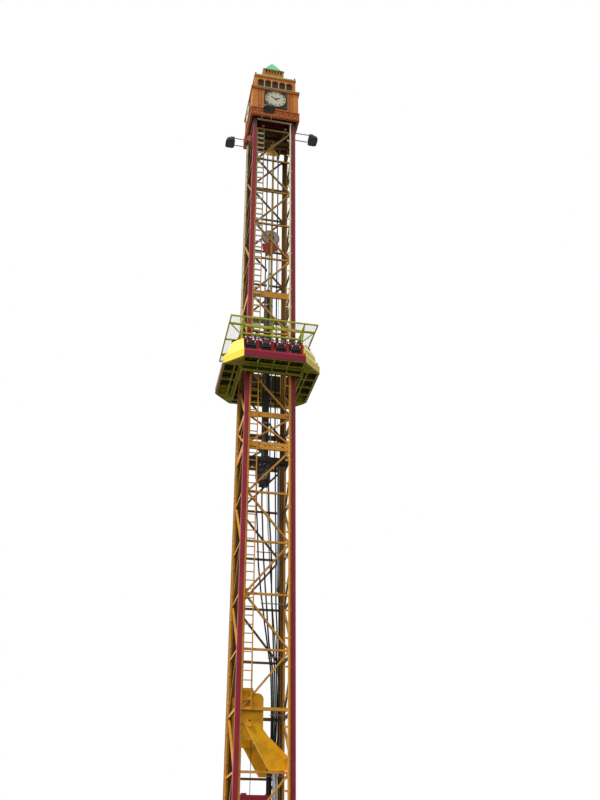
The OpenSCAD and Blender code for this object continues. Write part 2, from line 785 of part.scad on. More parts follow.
// A dial with a raised rim, twelve plain markers and two hands
module clock_dial() {
    marks = 12;
    mark_l = 80;
    mark_w = 26;
    hand_t = 8;
    translate([0, -wall_half - panel_t, dial_z]) rotate([90, 0, 0]) union() {
        cylinder(h = disc_t, r = dial_r, $fn = 96);
        for (i = [0:marks - 1]) rotate([0, 0, i * 360 / marks])
            translate([-mark_w / 2, dial_r - mark_l - 25, 0]) cube([mark_w, mark_l, disc_t + hand_t]);
        rotate([0, 0, 55]) translate([-14, -60, 0]) cube([28, 330, disc_t + hand_t]);
        rotate([0, 0, -62]) translate([-20, -50, 0]) cube([40, 250, disc_t + hand_t]);
    }
}

module clock_dials() {
    color(stone) for (k = [0:3]) on_side(k) clock_dial();
}

// Each floodlight by the side it hangs on, its place along that side and its distance from the mast
lamps = [[0, -385, 1680], [1, -655, 1775], [3, -230, 1905]];
lamp_z = head_z - 90;
lamp_bar_t = 40;
rail_top = lamp_z - lamp_bar_t - seat_gap;
lamp_arm_pitch = 420;
lamp_drop = 160;

module floodlight_arms() {
    color(steel) for (l = lamps) on_side(l[0]) translate([l[1], 0, lamp_z]) union() {
        for (s = [-1, 1]) translate([s * lamp_arm_pitch / 2, -half, 0]) rotate([90, 0, 0])
            cylinder(h = l[2] - half - lamp_d / 2, r = lamp_arm_r, $fn = 24);
        translate([-l[1], 0, 0]) box(-clear_half, clear_half, -half, -half + lamp_bar_t,
            -lamp_bar_t, lamp_bar_t);
    }
}

// A housing with a rounded back, open side outwards and down
module floodlights() {
    nose = 120;
    color(dark) for (l = lamps) on_side(l[0]) translate([l[1], -l[2], lamp_z - lamp_drop])
        rotate([90, 0, 90]) translate([0, 0, -lamp_w / 2]) linear_extrude(lamp_w)
            polygon(concat([[-lamp_d / 2, 0], [lamp_d / 2, 0], [lamp_d / 2, lamp_h - nose]],
                [for (a = [15:15:90]) [lamp_d / 2 - nose + nose * cos(a), lamp_h - nose + nose * sin(a)]],
                [[-lamp_d / 2, lamp_h - 60]]));
}

// A flat frame of one side of the carriage, with four levels of beams and three posts
module carriage_side(reach) {
    levels = [carriage_z, gondola_z + low_beam_rise, gondola_z + pan_rise - 80, gondola_z + front_beam_rise,
        ring_z - tube_w];
    z_top = ring_z;
    frame = [[-reach, carriage_z], [reach, carriage_z], [reach, z_top], [-reach, z_top]];
    holes = [for (i = [0:3], s = [-1, 1]) let (z0 = levels[i] + tube_w, z1 = levels[i + 1],
            xa = s * tube_w / 2, xb = s * (reach - tube_w))
        [[xa, z0], [xb, z0], [xb, z1], [xa, z1]]];
    upright(carriage_half, tube_w) polygon(points = concat(frame, [for (h = holes) each h]),
        paths = concat([[0, 1, 2, 3]], [for (i = [0:7]) [for (j = [0:3]) 4 + 4 * i + j]]));
}

module carriage_frame() {
    color(lime) for (k = [0:3]) on_side(k)
        carriage_side(k % 2 == 0 ? carriage_half : carriage_half - tube_w - seat_gap);
}

// Rollers on forked brackets, one high and one low on each rail
module guide_roller(z) {
    w = 46;
    cheek_t = 12;
    y_axle = -(rail_y + roller_gap + roller_r);
    y_seat = -(carriage_half - tube_w);
    translate([rail_x, 0, z]) union() {
        translate([0, y_axle, 0]) rotate([0, 90, 0]) translate([0, 0, -w / 2 - cheek_t - 2])
            cylinder(h = w + 2 * cheek_t + 4, r = 16, $fn = 32);
        translate([0, y_axle, 0]) rotate([0, 90, 0]) translate([0, 0, -w / 2])
            cylinder(h = w, r = roller_r, $fn = 48);
        for (s = [-1, 1]) translate([s * (w / 2 + 2 + cheek_t / 2) - cheek_t / 2, 0, 0])
            box(0, cheek_t, y_seat, y_axle + 30, -30, 30);
    }
}

module guide_rollers() {
    color(dark) for (turn = [0, 180], z = [gondola_z + low_beam_rise + tube_w / 2,
            gondola_z + front_beam_rise + tube_w / 2]) rotate([0, 0, turn]) {
        guide_roller(z);
        mirror([1, 1, 0]) guide_roller(z);
    }
}

// A flat strip of the canopy: outer tube, inner tube and cross tubes
module canopy_strip(reach, holes_x) {
    y0 = canopy_in;
    y1 = ring_half;
    frame = [[-reach, -y1], [reach, -y1], [reach, -y0 + ring_tube + 1], [-reach, -y0 + ring_tube + 1]];
    rings = [for (x = holes_x)
        [[x[0], -y1 + ring_tube], [x[1], -y1 + ring_tube], [x[1], -y0], [x[0], -y0]]];
    polygon(points = concat(frame, [for (h = rings) each h]),
        paths = concat([[0, 1, 2, 3]], [for (i = [0:len(rings) - 1]) [for (j = [0:3]) 4 + 4 * i + j]]));
}

module canopy_ring() {
    t = ring_tube;
    a = carriage_half;
    inner = canopy_in - t - 1;
    color(lime) for (k = [0:3]) on_side(k) translate([0, 0, ring_z]) linear_extrude(t)
        if (k % 2 == 0)
            canopy_strip(ring_half,
                [[-ring_half + t, -a], [-a + t, -t / 2], [t / 2, a - t], [a, ring_half - t]]);
        else
            canopy_strip(inner - seat_gap, [[-a + 2 * t, -t / 2], [t / 2, a - 2 * t]]);
}

// Inclined struts from the corner posts out to the ends of the inner canopy tubes
module canopy_struts() {
    w = 36;
    z = ring_z;
    x0 = carriage_half;
    x1 = ring_half - 30;
    drop = 480;
    color(lime) for (turn = [0, 180], s = [-1, 1]) rotate([0, 0, turn]) {
        upright(carriage_half - 12, w)
            polygon([[s * x0, z - drop], [s * x0, z - drop + 55], [s * (x1 - 60), z], [s * x1, z]]);
        rotate([0, 0, 90]) upright(carriage_half - 12, w)
            polygon([[s * x0, z - drop], [s * x0, z - drop + 55], [s * (x1 - 60), z], [s * x1, z]]);
    }
}

// Wire panels laid on the canopy ring
module mesh_strip(half_x, y0, y1) {
    nx = round(2 * half_x / mesh_pitch);
    ny = round((y1 - y0) / mesh_pitch);
    px = (2 * half_x - mesh_bar) / nx;
    py = (y1 - y0 - mesh_bar) / ny;
    frame = [[-half_x, -y1], [half_x, -y1], [half_x, -y0], [-half_x, -y0]];
    cells = [for (i = [0:nx - 1], j = [0:ny - 1])
        let (x = -half_x + mesh_bar + i * px, y = -y1 + mesh_bar + j * py)
        [[x, y], [x + px - mesh_bar, y], [x + px - mesh_bar, y + py - mesh_bar], [x, y + py - mesh_bar]]];
    polygon(points = concat(frame, [for (c = cells) each c]),
        paths = concat([[0, 1, 2, 3]], [for (i = [0:nx * ny - 1]) [for (j = [0:3]) 4 + 4 * i + j]]));
}

module canopy_mesh() {
    y0 = canopy_in - 30;
    y1 = ring_half - 10;
    color(steel) for (k = [0:3]) on_side(k) translate([0, 0, ring_z + ring_tube]) linear_extrude(mesh_t)
        mesh_strip(k % 2 == 0 ? y1 : y0 - seat_gap, y0, y1);
}

// Seats and their dividers share the length of a bench
bench_l = 2 * (bench_half - seat_gap);
function divider_x(i) = (i - seats / 2) * (bench_l - divider_t) / seats;
seat_d = bench_d;
apron_t = 22;
rib_w = 46;
under_h = 55;
panel_h = 20;

// The flat frame under one bench: three long beams and a rib below each divider
module under_frame() {
    beams = [[0, 50], [165, 215], [seat_d - apron_t - seat_gap - tube_w, seat_d - apron_t - seat_gap]];
    frame = [[-bench_l / 2, 0], [bench_l / 2, 0], [bench_l / 2, beams[2][1]], [-bench_l / 2, beams[2][1]]];
    rings = [for (i = [0:seats - 1], j = [0, 1]) let (x0 = divider_x(i) + rib_w / 2,
            x1 = divider_x(i + 1) - rib_w / 2, s0 = beams[j][1], s1 = beams[j + 1][0])
        [[x0, s0], [x1, s0], [x1, s1], [x0, s1]]];
    translate([0, -back_plane, gondola_z]) mirror([0, 1, 0]) linear_extrude(under_h)
        polygon(points = concat(frame, [for (h = rings) each h]),
            paths = concat([[0, 1, 2, 3]],
                [for (i = [0:len(rings) - 1]) [for (j = [0:3]) 4 + 4 * i + j]]));
}

// The flat panel that closes one corner fairing from below, clear of the carriage corner
module corner_panel() {
    wall = fairing_t + seat_gap;
    corner = carriage_half + 3 * seat_gap - bench_half;
    leg = bench_out - bench_half - fairing_t * sqrt(2) - wall - 2 * seat_gap;
    translate([bench_half, bench_half, gondola_z]) linear_extrude(panel_h)
        polygon([[wall, corner], [corner, corner], [corner, wall], [leg, wall], [wall, leg]]);
}

module under_frames() {
    color(lime) for (k = [0:3]) {
        on_side(k) under_frame();
        rotate([0, 0, k * 90]) corner_panel();
    }
}

post_w = 40;
post_s = 544;

module bench_posts() {
    h = pan_rise - shell_t - under_h;
    color(lime) for (k = [0:3], i = [0:2:seats]) on_side(k)
        translate([divider_x(i), -back_plane - post_s, gondola_z + under_h])
            linear_extrude(h) square(post_w, center = true);
}

// Parts of a bench in side view: s is the distance out from the carriage, z the height over the aprons
function bump(n, c, r, a0, a1) = [for (i = [0:n])
    let (a = a0 + (a1 - a0) * i / n) [c[0] + r * cos(a), c[1] + r * sin(a)]];
back_foot = 2 * shell_t;
back_knee = shell_t + 36;
back_top = shell_t + 12;
loose = 2 * seat_gap;

module seat_pan() {
    front = seat_d - 45;
    z = pan_rise;
    polygon(concat([[0, z - shell_t], [front, z - shell_t]],
        bump(6, [front - shell_t / 2, z - shell_t / 2], shell_t / 2, 0, 90), [[0, z]]));
}

module seat_back() {
    polygon(concat([[0, pan_rise + seat_gap], [back_foot, pan_rise + seat_gap],
        [back_knee, pan_rise + 60], [back_top, back_rise - 60]],
        bump(6, [shell_t / 2 + 6, back_rise - shell_t / 2], shell_t / 2, 0, 180), [[0, back_rise - 90]]));
}

// The upright wing between two seats: a low arm in front, rising along the backrest
module seat_divider() {
    front = seat_d - 60;
    z = pan_rise + seat_gap;
    polygon(concat([[back_foot + loose, z], [front, z], [front, z + 20]],
        bump(6, [front - 90, z + 20], 90, 0, 80),
        bump(6, [320, z + 320], 190, -80, -180),
        [[pivot_s + 35, back_rise - 60], [back_top + loose, back_rise - 60],
         [back_knee + loose, pan_rise + 60]]));
}

lug_w = 36;

// A bearing block for the restraint tube, on the wing and over the top of the backrest
module pivot_lug() {
    r = pivot_r + 18;
    difference() {
        polygon(concat([[back_top + loose, back_rise - 80], [pivot_s + 34, back_rise - 80]],
            bump(8, [pivot_s, pivot_rise], r, 0, 180),
            [[4, back_rise + 20], [4, back_rise + loose], [shell_t + 7, back_rise + loose],
             [back_top + loose, back_rise - 60]]));
        translate([pivot_s, pivot_rise]) circle(r = pivot_r + 1, $fn = 48);
    }
}

module bench() {
    translate([0, -back_plane, gondola_z]) {
        along_x(bench_l) seat_pan();
        along_x(bench_l) seat_back();
        for (i = [0:seats]) translate([divider_x(i), 0, 0]) union() {
            along_x(divider_t) seat_divider();
            along_x(lug_w) pivot_lug();
        }
    }
}

module front_bench() {
    color(seat_red) on_side(0) bench();
}

module left_bench() {
    color(seat_red) on_side(1) bench();
}

module back_bench() {
    color(seat_red) on_side(2) bench();
}

module right_bench() {
    color(seat_red) on_side(3) bench();
}

// The skirt below the front edge of each bench, rolled over at its top
module apron() {
    t = apron_t;
    z1 = pan_rise - shell_t;
    r = 60;
    polygon(concat([[seat_d - t, 0], [seat_d, 0]], bump(6, [seat_d - r, z1 - r], r, 0, 90),
        [[seat_d - r - 10, z1], [seat_d - r - 10, z1 - t]], bump(6, [seat_d - r, z1 - r], r - t, 90, 0)));
}

module aprons() {
    color(maroon) for (k = [0:3]) on_side(k) translate([0, -back_plane, gondola_z])
        along_x(bench_l) apron();
}

// Fairing in diagonal view: s is the distance out from the corner of the benches. Its outline is
// given in shares of its depth and of its height above the skirt
fairing_s0 = (bench_out - bench_half) / sqrt(2);
skirt_h = 290;
fairing_steps = [[0, 0], [0.09, 0.085], [0.21, 0.21], [0.28, 0.51], [0.34, 0.6], [0.47, 0.8],
    [0.56, 0.86], [0.83, 0.98], [0.87, 1]];
fairing_curve = [for (p = fairing_steps)
    [fairing_s0 * (1 - p[0]), skirt_h + (fairing_h - skirt_h) * p[1]]];

module fairing_profile(inset) {
    polygon(concat([[-50, -1], [fairing_s0 - inset, -1]],
        [for (p = fairing_curve) [p[0] - inset, p[1] - inset]], [[-50, fairing_h - inset]]));
}

// One corner fairing at +X and +Y: a curved shell whose plan is a 45 degree chamfer
module fairing() {
    post = carriage_half + seat_gap - bench_half;
    translate([bench_half, bench_half, gondola_z]) difference() {
        fairing_body(0, 0);
        fairing_body(fairing_t, fairing_t);
        translate([-1, -1, -2]) cube([post + 1, post + 1, 2 * fairing_h]);
    }
}

// The profile swept square to the diagonal and kept between the two benches
module fairing_body(inset, back) {
    span = bench_out;
    intersection() {
        rotate([0, 0, 45]) rotate([90, 0, 0]) translate([0, 0, -span]) linear_extrude(2 * span)
            fairing_profile(inset);
        translate([back > 0 ? fairing_t : 0, back > 0 ? fairing_t : 0, back > 0 ? -2 : 0])
            cube([span, span, 2 * fairing_h]);
    }
}

module corner_fairings() {
    color(fairing_yellow) for (k = [0:3]) rotate([0, 0, k * 90]) fairing();
}

// A padded arm in side view: out over the shoulder and down in front of the chest
arm_out = 200;
arm_down = 470;
arm_bend = 110;
arm_w = 62;

module restraint_arm() {
    a = arm_w / 2;
    polygon(concat([[0, -a], [arm_out - arm_bend, -a]],
        bump(6, [arm_out - arm_bend, -arm_bend], arm_bend - a, 90, 0),
        [[arm_out - a, -arm_down], [arm_out + a, -arm_down]],
        bump(6, [arm_out - arm_bend, -arm_bend], arm_bend + a, 0, 90),
        [[0, a]]));
}

module restraints() {
    reach = 2 * (bench_half - 12);
    pitch = (bench_l - divider_t) / seats;
    translate([0, -back_plane - pivot_s, gondola_z + pivot_rise]) union() {
        rotate([0, 90, 0]) translate([0, 0, -reach / 2]) cylinder(h = reach, r = pivot_r, $fn = 48);
        for (i = [0:seats - 1]) translate([(i - (seats - 1) / 2) * pitch, 0, 0]) {
            for (s = [-1, 1]) translate([s * pad_arm_pitch / 2, 0, 0]) along_x(pad_arm_w) restraint_arm();
            along_x(pad_arm_pitch + pad_arm_w) polygon(concat(
                bump(8, [arm_out, -arm_down], 50, 0, 360)));
        }
    }
}

module front_restraints() {
    color(dark) on_side(0) restraints();
}

module left_restraints() {
    color(dark) on_side(1) restraints();
}

module back_restraints() {
    color(dark) on_side(2) restraints();
}

module right_restraints() {
    color(dark) on_side(3) restraints();
}

base_frame();
support_housing();
front_columns();
back_columns();
front_lattice();
left_lattice();
back_lattice();
right_lattice();
guide_rails();
ladder();
hinge_plates();
lifting_arms();
raise_cylinder();
drive_cradle();
drive_cylinder();
drive_ram();
ram_sheave();
rope_sheaves();
crown_frame();
hoist_ropes();
hose_bundle();
clock_walls();
lower_band();
cornice();
arcade();
parapet();
lantern();
roof();
dial_panels();
clock_dials();
floodlight_arms();
floodlights();
carriage_frame();
guide_rollers();
canopy_ring();
canopy_struts();
canopy_mesh();
under_frames();
bench_posts();
front_bench();
left_bench();
back_bench();
right_bench();
aprons();
corner_fairings();
front_restraints();
left_restraints();
back_restraints();
right_restraints();
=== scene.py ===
import math

import bmesh
import bpy
from mathutils import Matrix, Vector


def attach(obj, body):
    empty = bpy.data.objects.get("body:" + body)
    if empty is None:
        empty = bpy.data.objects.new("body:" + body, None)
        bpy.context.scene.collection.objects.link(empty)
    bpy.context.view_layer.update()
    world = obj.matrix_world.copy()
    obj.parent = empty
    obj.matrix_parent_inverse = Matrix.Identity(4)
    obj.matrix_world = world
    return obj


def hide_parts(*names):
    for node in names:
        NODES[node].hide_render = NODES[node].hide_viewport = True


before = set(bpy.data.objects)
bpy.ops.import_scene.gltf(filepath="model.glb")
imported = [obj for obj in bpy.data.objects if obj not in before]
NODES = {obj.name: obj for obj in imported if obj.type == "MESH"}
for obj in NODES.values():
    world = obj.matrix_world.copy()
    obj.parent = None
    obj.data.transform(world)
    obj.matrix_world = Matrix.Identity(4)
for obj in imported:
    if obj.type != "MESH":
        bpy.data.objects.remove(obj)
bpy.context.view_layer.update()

# Camera, from the fit to the mast's corners and bays: focal length and picture height in pixels
FOCAL_PX = 879.2
PHOTO_H = 800
SENSOR_H = 36.0
CAMERA_AT = (-4.95, -28.655, 1.6)
CAMERA_PITCH = math.radians(29.5)
CAMERA_YAW = -0.2154
CAMERA_ROLL = -0.0038

# Places and sizes of the frame, in metres
SIDES = ("front", "left", "back", "right")
TURNS = (0, -90, 180, 90)
CORNERS = ((-1, -1), (-1, 1), (1, -1), (1, 1))
OUT = (0, -1, 0)
UP = (0, 0, 1)
HALF = 0.945
CLEAR = 0.795
FACE = 0.925
LATTICE_T = 0.06
LATTICE_BACK = -(FACE - LATTICE_T)
FLANGE = 0.075
HOLE = CLEAR - FLANGE
COLUMN_HALF = 0.075
BAR_HALF = 0.035
BRACE = 0.056
FIRST_NODE = 1.24
BAY = 1.8
LOWER_BAYS = 8
UPPER_BAYS = 8
ARM_BAY = 2
SPLICE_Z = FIRST_NODE + LOWER_BAYS * BAY
UPPER_Z = SPLICE_Z + 1.26
TOP_NODE = UPPER_Z + UPPER_BAYS * BAY
LEVELS = ([FIRST_NODE + i * BAY for i in range(LOWER_BAYS + 1)]
          + [UPPER_Z + i * BAY for i in range(UPPER_BAYS + 1)])
# Half the depth of the beams that are deeper than a bar, by their number in LEVELS
DEEP_HALF = {3: 0.05, 8: 0.15, 9: 0.1, 12: 0.14}
CROWN_Z = TOP_NODE + BAR_HALF
RAIL_X = CLEAR - 0.08
BASE_TOP = 0.3
ANCHOR = 1.25
PAD_TOP = 0.04
LADDER_X0 = -0.751
LADDER_X1 = -0.478
RUNG_Z0 = 6.605
RUNG_PITCH = 0.29
HINGE = (-0.484, 6.3)
ARM_EDGE = ((-0.664, 6.23), (0.11, 4.94))
CRADLE_Z = SPLICE_Z - 0.26
CYL_TOP = 23.1
CYL_R = 0.122
WHEEL_X = 0.07
WHEEL_Z = 25.95
SHEAVE_X = 0.93
SHEAVE_OFF = 0.22
HEAD_Z = 31.96
WALL = 1.06
BAND_H = 0.46
DIAL_Z = HEAD_Z + 1.14
PANEL_Y = -WALL - 0.024
DIAL_Y = PANEL_Y - 0.02
DECK_Z = HEAD_Z + 1.68
CORNICE_TOP = DECK_Z + 0.18
ARCADE_HALF = 0.95
ARCADE_TOP = CORNICE_TOP + 0.83
LANTERN_HALF = 0.47
LANTERN_Z = ARCADE_TOP + 0.07
EAVE_Z = LANTERN_Z + 1.03
EAVE_HALF = 0.44
ROOF_H = 1.01
GONDOLA_Z = 18.76
CARRIAGE = 1.185
BACK_PLANE = CARRIAGE + 0.0003
BENCH_HALF = 1.155
SEATS = 4
DIVIDER_T = 0.046
SEAT_PITCH = (2 * (BENCH_HALF - 0.0003) - DIVIDER_T) / SEATS
PAN_RISE = 0.36
PIVOT_S = 0.115
PIVOT_RISE = 1.16
RING_Z = GONDOLA_Z + 1.8
RING_HALF = 1.685


def add_object(name, data):
    ob = bpy.data.objects.new(name, data)
    bpy.context.scene.collection.objects.link(ob)
    return ob


def make_camera():
    data = bpy.data.cameras.new("camera")
    data.sensor_fit = "VERTICAL"
    data.sensor_height = SENSOR_H
    data.lens = FOCAL_PX / PHOTO_H * SENSOR_H
    data.clip_end = 500
    cam = add_object("camera", data)
    turn = Matrix.Rotation(CAMERA_YAW, 4, "Z") @ Matrix.Rotation(math.pi / 2 + CAMERA_PITCH, 4, "X")
    cam.matrix_world = Matrix.Translation(CAMERA_AT) @ turn @ Matrix.Rotation(CAMERA_ROLL, 4, "Z")
    bpy.context.scene.camera = cam


# Materials
def linear(colour):
    """A colour as it looks on screen, 0 to 255, in linear light."""
    out = []
    for v in colour:
        v = v / 255
        out.append(v / 12.92 if v <= 0.04045 else ((v + 0.055) / 1.055) ** 2.4)
    return (*out, 1.0)


def grey(v):
    return (v, v, v, 1.0)


class Graph:
    """The nodes of one material or world, emptied first."""

    def __init__(self, owner):
        owner.use_nodes = True
        self.tree = owner.node_tree
        self.tree.nodes.clear()

    def feed(self, node, inputs):
        """Sets inputs, by name or number, from plain values or from sockets of other nodes."""
        for key, value in inputs.items():
            if isinstance(value, bpy.types.NodeSocket):
                self.tree.links.new(value, node.inputs[key])
            else:
                node.inputs[key].default_value = value
        return node

    def node(self, kind, inputs, operation=None):
        node = self.tree.nodes.new(kind)
        if operation:
            node.operation = operation
        return self.feed(node, inputs)

    def noise(self, place, scale, detail, rough=0.5):
        inputs = {"Vector": place, "Scale": scale, "Detail": detail, "Roughness": rough}
        return self.node("ShaderNodeTexNoise", inputs).outputs["Fac"]

    def ramp(self, factor, at0, colour0, at1, colour1):
        node = self.node("ShaderNodeValToRGB", {"Fac": factor})
        for stop, at, colour in zip(node.color_ramp.elements, (at0, at1), (colour0, colour1)):
            stop.position = at
            stop.color = colour
        return node.outputs["Color"]

    def blend(self, factor, a, b):
        """A colour mixed from a to b."""
        node = self.tree.nodes.new("ShaderNodeMix")
        node.data_type = "RGBA"
        return self.feed(node, {"Factor": factor, "A": a, "B": b}).outputs["Result"]

    def span(self, value, from0, from1, to0=0.0, to1=1.0):
        """A value carried from one range to another, and held at its ends."""
        inputs = {"Value": value, "From Min": from0, "From Max": from1, "To Min": to0, "To Max": to1}
        return self.node("ShaderNodeMapRange", inputs).outputs["Result"]

    def height(self, place):
        return self.node("ShaderNodeSeparateXYZ", {0: place}).outputs["Z"]

    def math(self, operation, a, b):
        return self.node("ShaderNodeMath", {0: a, 1: b}, operation).outputs[0]

    def vector(self, operation, a, b=(0, 0, 0)):
        return self.node("ShaderNodeVectorMath", {0: a, 1: b}, operation).outputs

    def shaded_faces(self, place, normal):
        """1 on faces that look down or back towards the mast, else 0: where shade is painted."""
        flat = self.vector("MULTIPLY", place, (1, 1, 0))["Vector"]
        away = self.vector("NORMALIZE", flat)["Vector"]
        back = self.vector("DOT_PRODUCT", away, normal)["Value"]
        down = self.vector("DOT_PRODUCT", normal, (0, 0, -1))["Value"]
        return self.math("MAXIMUM", self.math("GREATER_THAN", down, 0.6), self.math("LESS_THAN", back, -0.68))


def surface(name, base, tint, scale, rough, bump, grain, dirt, amount=0.4, streak=(1, 1, 1),
            upper=None, inner=None, metallic=0.0, coat=0.0, on=""):
    """Painted, moulded or bare surface: two tones in soft patches, grime in streaks, fine grain.

    Colours are as they look on screen. `upper` gives another pair of tones above a height, on most
    surfaces painted light (shade under the head, sunlight above the gondola). `inner` gives a colour of
    painted shade for faces that look down or back towards the mast. `on` names the nodes that wear it.
    """
    mat = bpy.data.materials.new(name)
    g = Graph(mat)
    co = g.node("ShaderNodeTexCoord", {})
    place = co.outputs["Object"]
    patches = g.noise(place, scale, 5, 0.6)
    colour = g.ramp(patches, 0.25, linear(base), 0.75, linear(tint))
    if upper:
        z0, z1, high_base, high_tint = upper
        high = g.ramp(patches, 0.25, linear(high_base), 0.75, linear(high_tint))
        colour = g.blend(g.span(g.height(place), z0, z1), colour, high)
    if inner:
        colour = g.blend(g.shaded_faces(place, co.outputs["Normal"]), colour, linear(inner))
    stretched = g.node("ShaderNodeMapping", {"Vector": place, "Scale": streak}).outputs["Vector"]
    spots = g.ramp(g.noise(stretched, 7.0, 8, 0.7), 0.48, grey(0), 0.72, grey(amount))
    shader = g.node("ShaderNodeBsdfPrincipled", {
        "Base Color": g.blend(spots, colour, linear(dirt)), "Roughness": g.span(patches, 0.3, 0.7, *rough),
        "Metallic": metallic, "Coat Weight": coat, "Specular IOR Level": 0.2})
    if bump:
        inputs = {"Height": g.noise(place, grain, 3), "Strength": bump, "Distance": 0.004}
        g.feed(shader, {"Normal": g.node("ShaderNodeBump", inputs).outputs["Normal"]})
    g.node("ShaderNodeOutputMaterial", {"Surface": shader.outputs[0]})
    MAT[name] = mat
    for node in on.split():
        materials = NODES[node].data.materials
        materials.clear()
        materials.append(mat)


MAT = {}
# Colours of dirt, of painted shade on undersides, ranges of roughness, and how grime is stretched
RUST = (92, 52, 30)
GRIME = (50, 40, 32)
OIL = (38, 32, 22)
STAIN = (104, 78, 22)
UNDERSIDE_SHADE = (52, 48, 20)
GLOSS = (0.25, 0.4)
SEMI = (0.3, 0.5)
SATIN = (0.4, 0.6)
MATTE = (0.45, 0.7)
CHALK = (0.5, 0.75)
RUNS = (2.2, 2.2, 0.35)
LARGE = (0.4, 0.4, 0.4)
# Each surface: name, two tones, scale, roughness, grain and its scale, dirt, its amount and its stretch
# Crimson turns near black above 31.35 m: painted shade under the head
surface("crimson_paint", (138, 22, 40), (166, 46, 60), 1.1, SEMI, 0.2, 40, RUST, 0.5, RUNS,
        upper=(31.35, 31.6, (40, 16, 22), (56, 24, 28)), on="support_housing front_columns")
# Ochre darkens from 21 m up to 31 m, painted shade deepening under the head; faces that look down or back
# towards the mast take painted shade
surface("ochre_paint", (200, 134, 36), (222, 160, 54), 0.9, (0.35, 0.6), 0.2, 40, RUST, 0.55,
        upper=(21.0, 31.0, (120, 92, 34), (146, 114, 44)), inner=(104, 74, 26),
        on="back_columns front_lattice left_lattice back_lattice right_lattice ladder")
# Treads pale as a painted highlight of sunlit rungs
surface("tread_highlight", (232, 224, 204), (246, 240, 224), 6.0, SATIN, 0.2, 80, GRIME)
# Arm edges pale as a painted highlight of their sunlit edge
surface("edge_highlight", (246, 198, 84), (250, 212, 112), 6.0, SATIN, 0.2, 80, GRIME, 0.3)
surface("bar_paint", (150, 122, 40), (172, 144, 56), 2.0, SATIN, 0.2, 40, OIL, 0.4, RUNS)
# Crown frame darkens above 31.28 m: painted shade under the head
surface("crown_paint", (236, 188, 40), (246, 204, 70), 1.6, SATIN, 0.2, 40, RUST,
        upper=(31.28, 31.33, (96, 74, 30), (120, 92, 38)), on="crown_frame")
# Brace legs darker than the lattice: painted shade on the lower legs, deeper towards the head
surface("leg_shade", (124, 88, 30), (150, 112, 42), 2.0, SATIN, 0.2, 40, RUST,
        upper=(21.0, 31.0, (70, 54, 24), (92, 72, 32)))
surface("gold_paint", (230, 156, 8), (246, 178, 18), 1.6, (0.45, 0.65), 0.2, 40, STAIN, 0.5, LARGE,
        on="hinge_plates lifting_arms")
# Rails turn pale cream from 19.4 m to 20.6 m up: painted sunlight above the gondola
surface("cream_paint", (226, 158, 52), (238, 176, 74), 2.0, SEMI, 0.15, 40, RUST, 0.4, RUNS,
        upper=(19.4, 20.6, (246, 230, 182), (252, 242, 210)), on="guide_rails")
# Lime brightens above 19.3 m: painted sunlight on the canopy, above the carriage in shade
surface("lime_paint", (150, 150, 30), (170, 170, 44), 2.4, SEMI, 0.15, 40, GRIME, 0.45,
        upper=(19.3, 19.5, (182, 192, 44), (206, 214, 70)), on="carriage_frame canopy_ring canopy_struts")
surface("underside_paint", (160, 154, 42), (188, 180, 62), 2.4, MATTE, 0.2, 40, OIL, 0.6,
        on="under_frames bench_posts")
surface("rope_steel", (58, 56, 54), (82, 80, 78), 20.0, SATIN, 0.3, 200, OIL, 0.5, RUNS,
        metallic=0.4, on="hoist_ropes")
surface("arm_paint", (196, 152, 120), (214, 176, 146), 3.0, SATIN, 0.2, 60, RUST, on="floodlight_arms")
surface("groove_paint", (136, 44, 28), (156, 60, 40), 3.0, MATTE, 0.2, 40, GRIME, 0.3, RUNS)
# Dark plates: painted shade under the seats and on the carriage sides
surface("underside_shade_plate", (50, 46, 20), (70, 64, 30), 2.4, CHALK, 0.2, 40, OIL, 0.6)
surface("dark_paint", (40, 38, 36), (60, 56, 52), 3.0, (0.4, 0.65), 0.3, 50, RUST, 0.4, RUNS,
        on="base_frame drive_cradle drive_cylinder guide_rollers dial_panels")
surface("plain_steel", (150, 152, 156), (188, 190, 192), 5.0, (0.25, 0.45), 0.2, 90, GRIME, 0.4, RUNS,
        metallic=0.7, on="raise_cylinder drive_ram")
surface("zinc_plate", (120, 118, 110), (150, 148, 140), 9.0, SATIN, 0.1, 90, RUST, 0.5, metallic=0.7)
surface("trim_paint", (170, 66, 30), (192, 90, 44), 2.6, MATTE, 0.3, 30, GRIME, 0.35, RUNS,
        on="lower_band cornice")
surface("wheel_paint", (150, 56, 34), (172, 74, 44), 2.6, MATTE, 0.3, 30, GRIME, 0.35, RUNS,
        upper=(29.5, 30.5, (206, 104, 84), (226, 128, 104)), on="ram_sheave rope_sheaves")
surface("wall_paint", (208, 124, 48), (226, 148, 70), 1.8, MATTE, 0.3, 26, RUST, 0.4, RUNS,
        on="clock_walls arcade lantern")
surface("stone_paint", (180, 184, 108), (204, 206, 136), 2.6, CHALK, 0.35, 30, GRIME, 0.35, RUNS)
surface("parapet_paint", (170, 180, 92), (196, 202, 120), 2.6, CHALK, 0.35, 30, GRIME, 0.35, RUNS,
        upper=(ARCADE_TOP + 0.128, ARCADE_TOP + 0.132, (60, 50, 44), (80, 66, 56)), on="parapet")
surface("mint_paint", (92, 190, 134), (124, 212, 158), 2.6, (0.4, 0.65), 0.25, 30, GRIME, 0.3, RUNS,
        on="roof")
surface("dial_face", (206, 204, 180), (220, 218, 196), 4.0, (0.3, 0.45), 0.05, 30, GRIME, 0.25, RUNS,
        on="clock_dials")
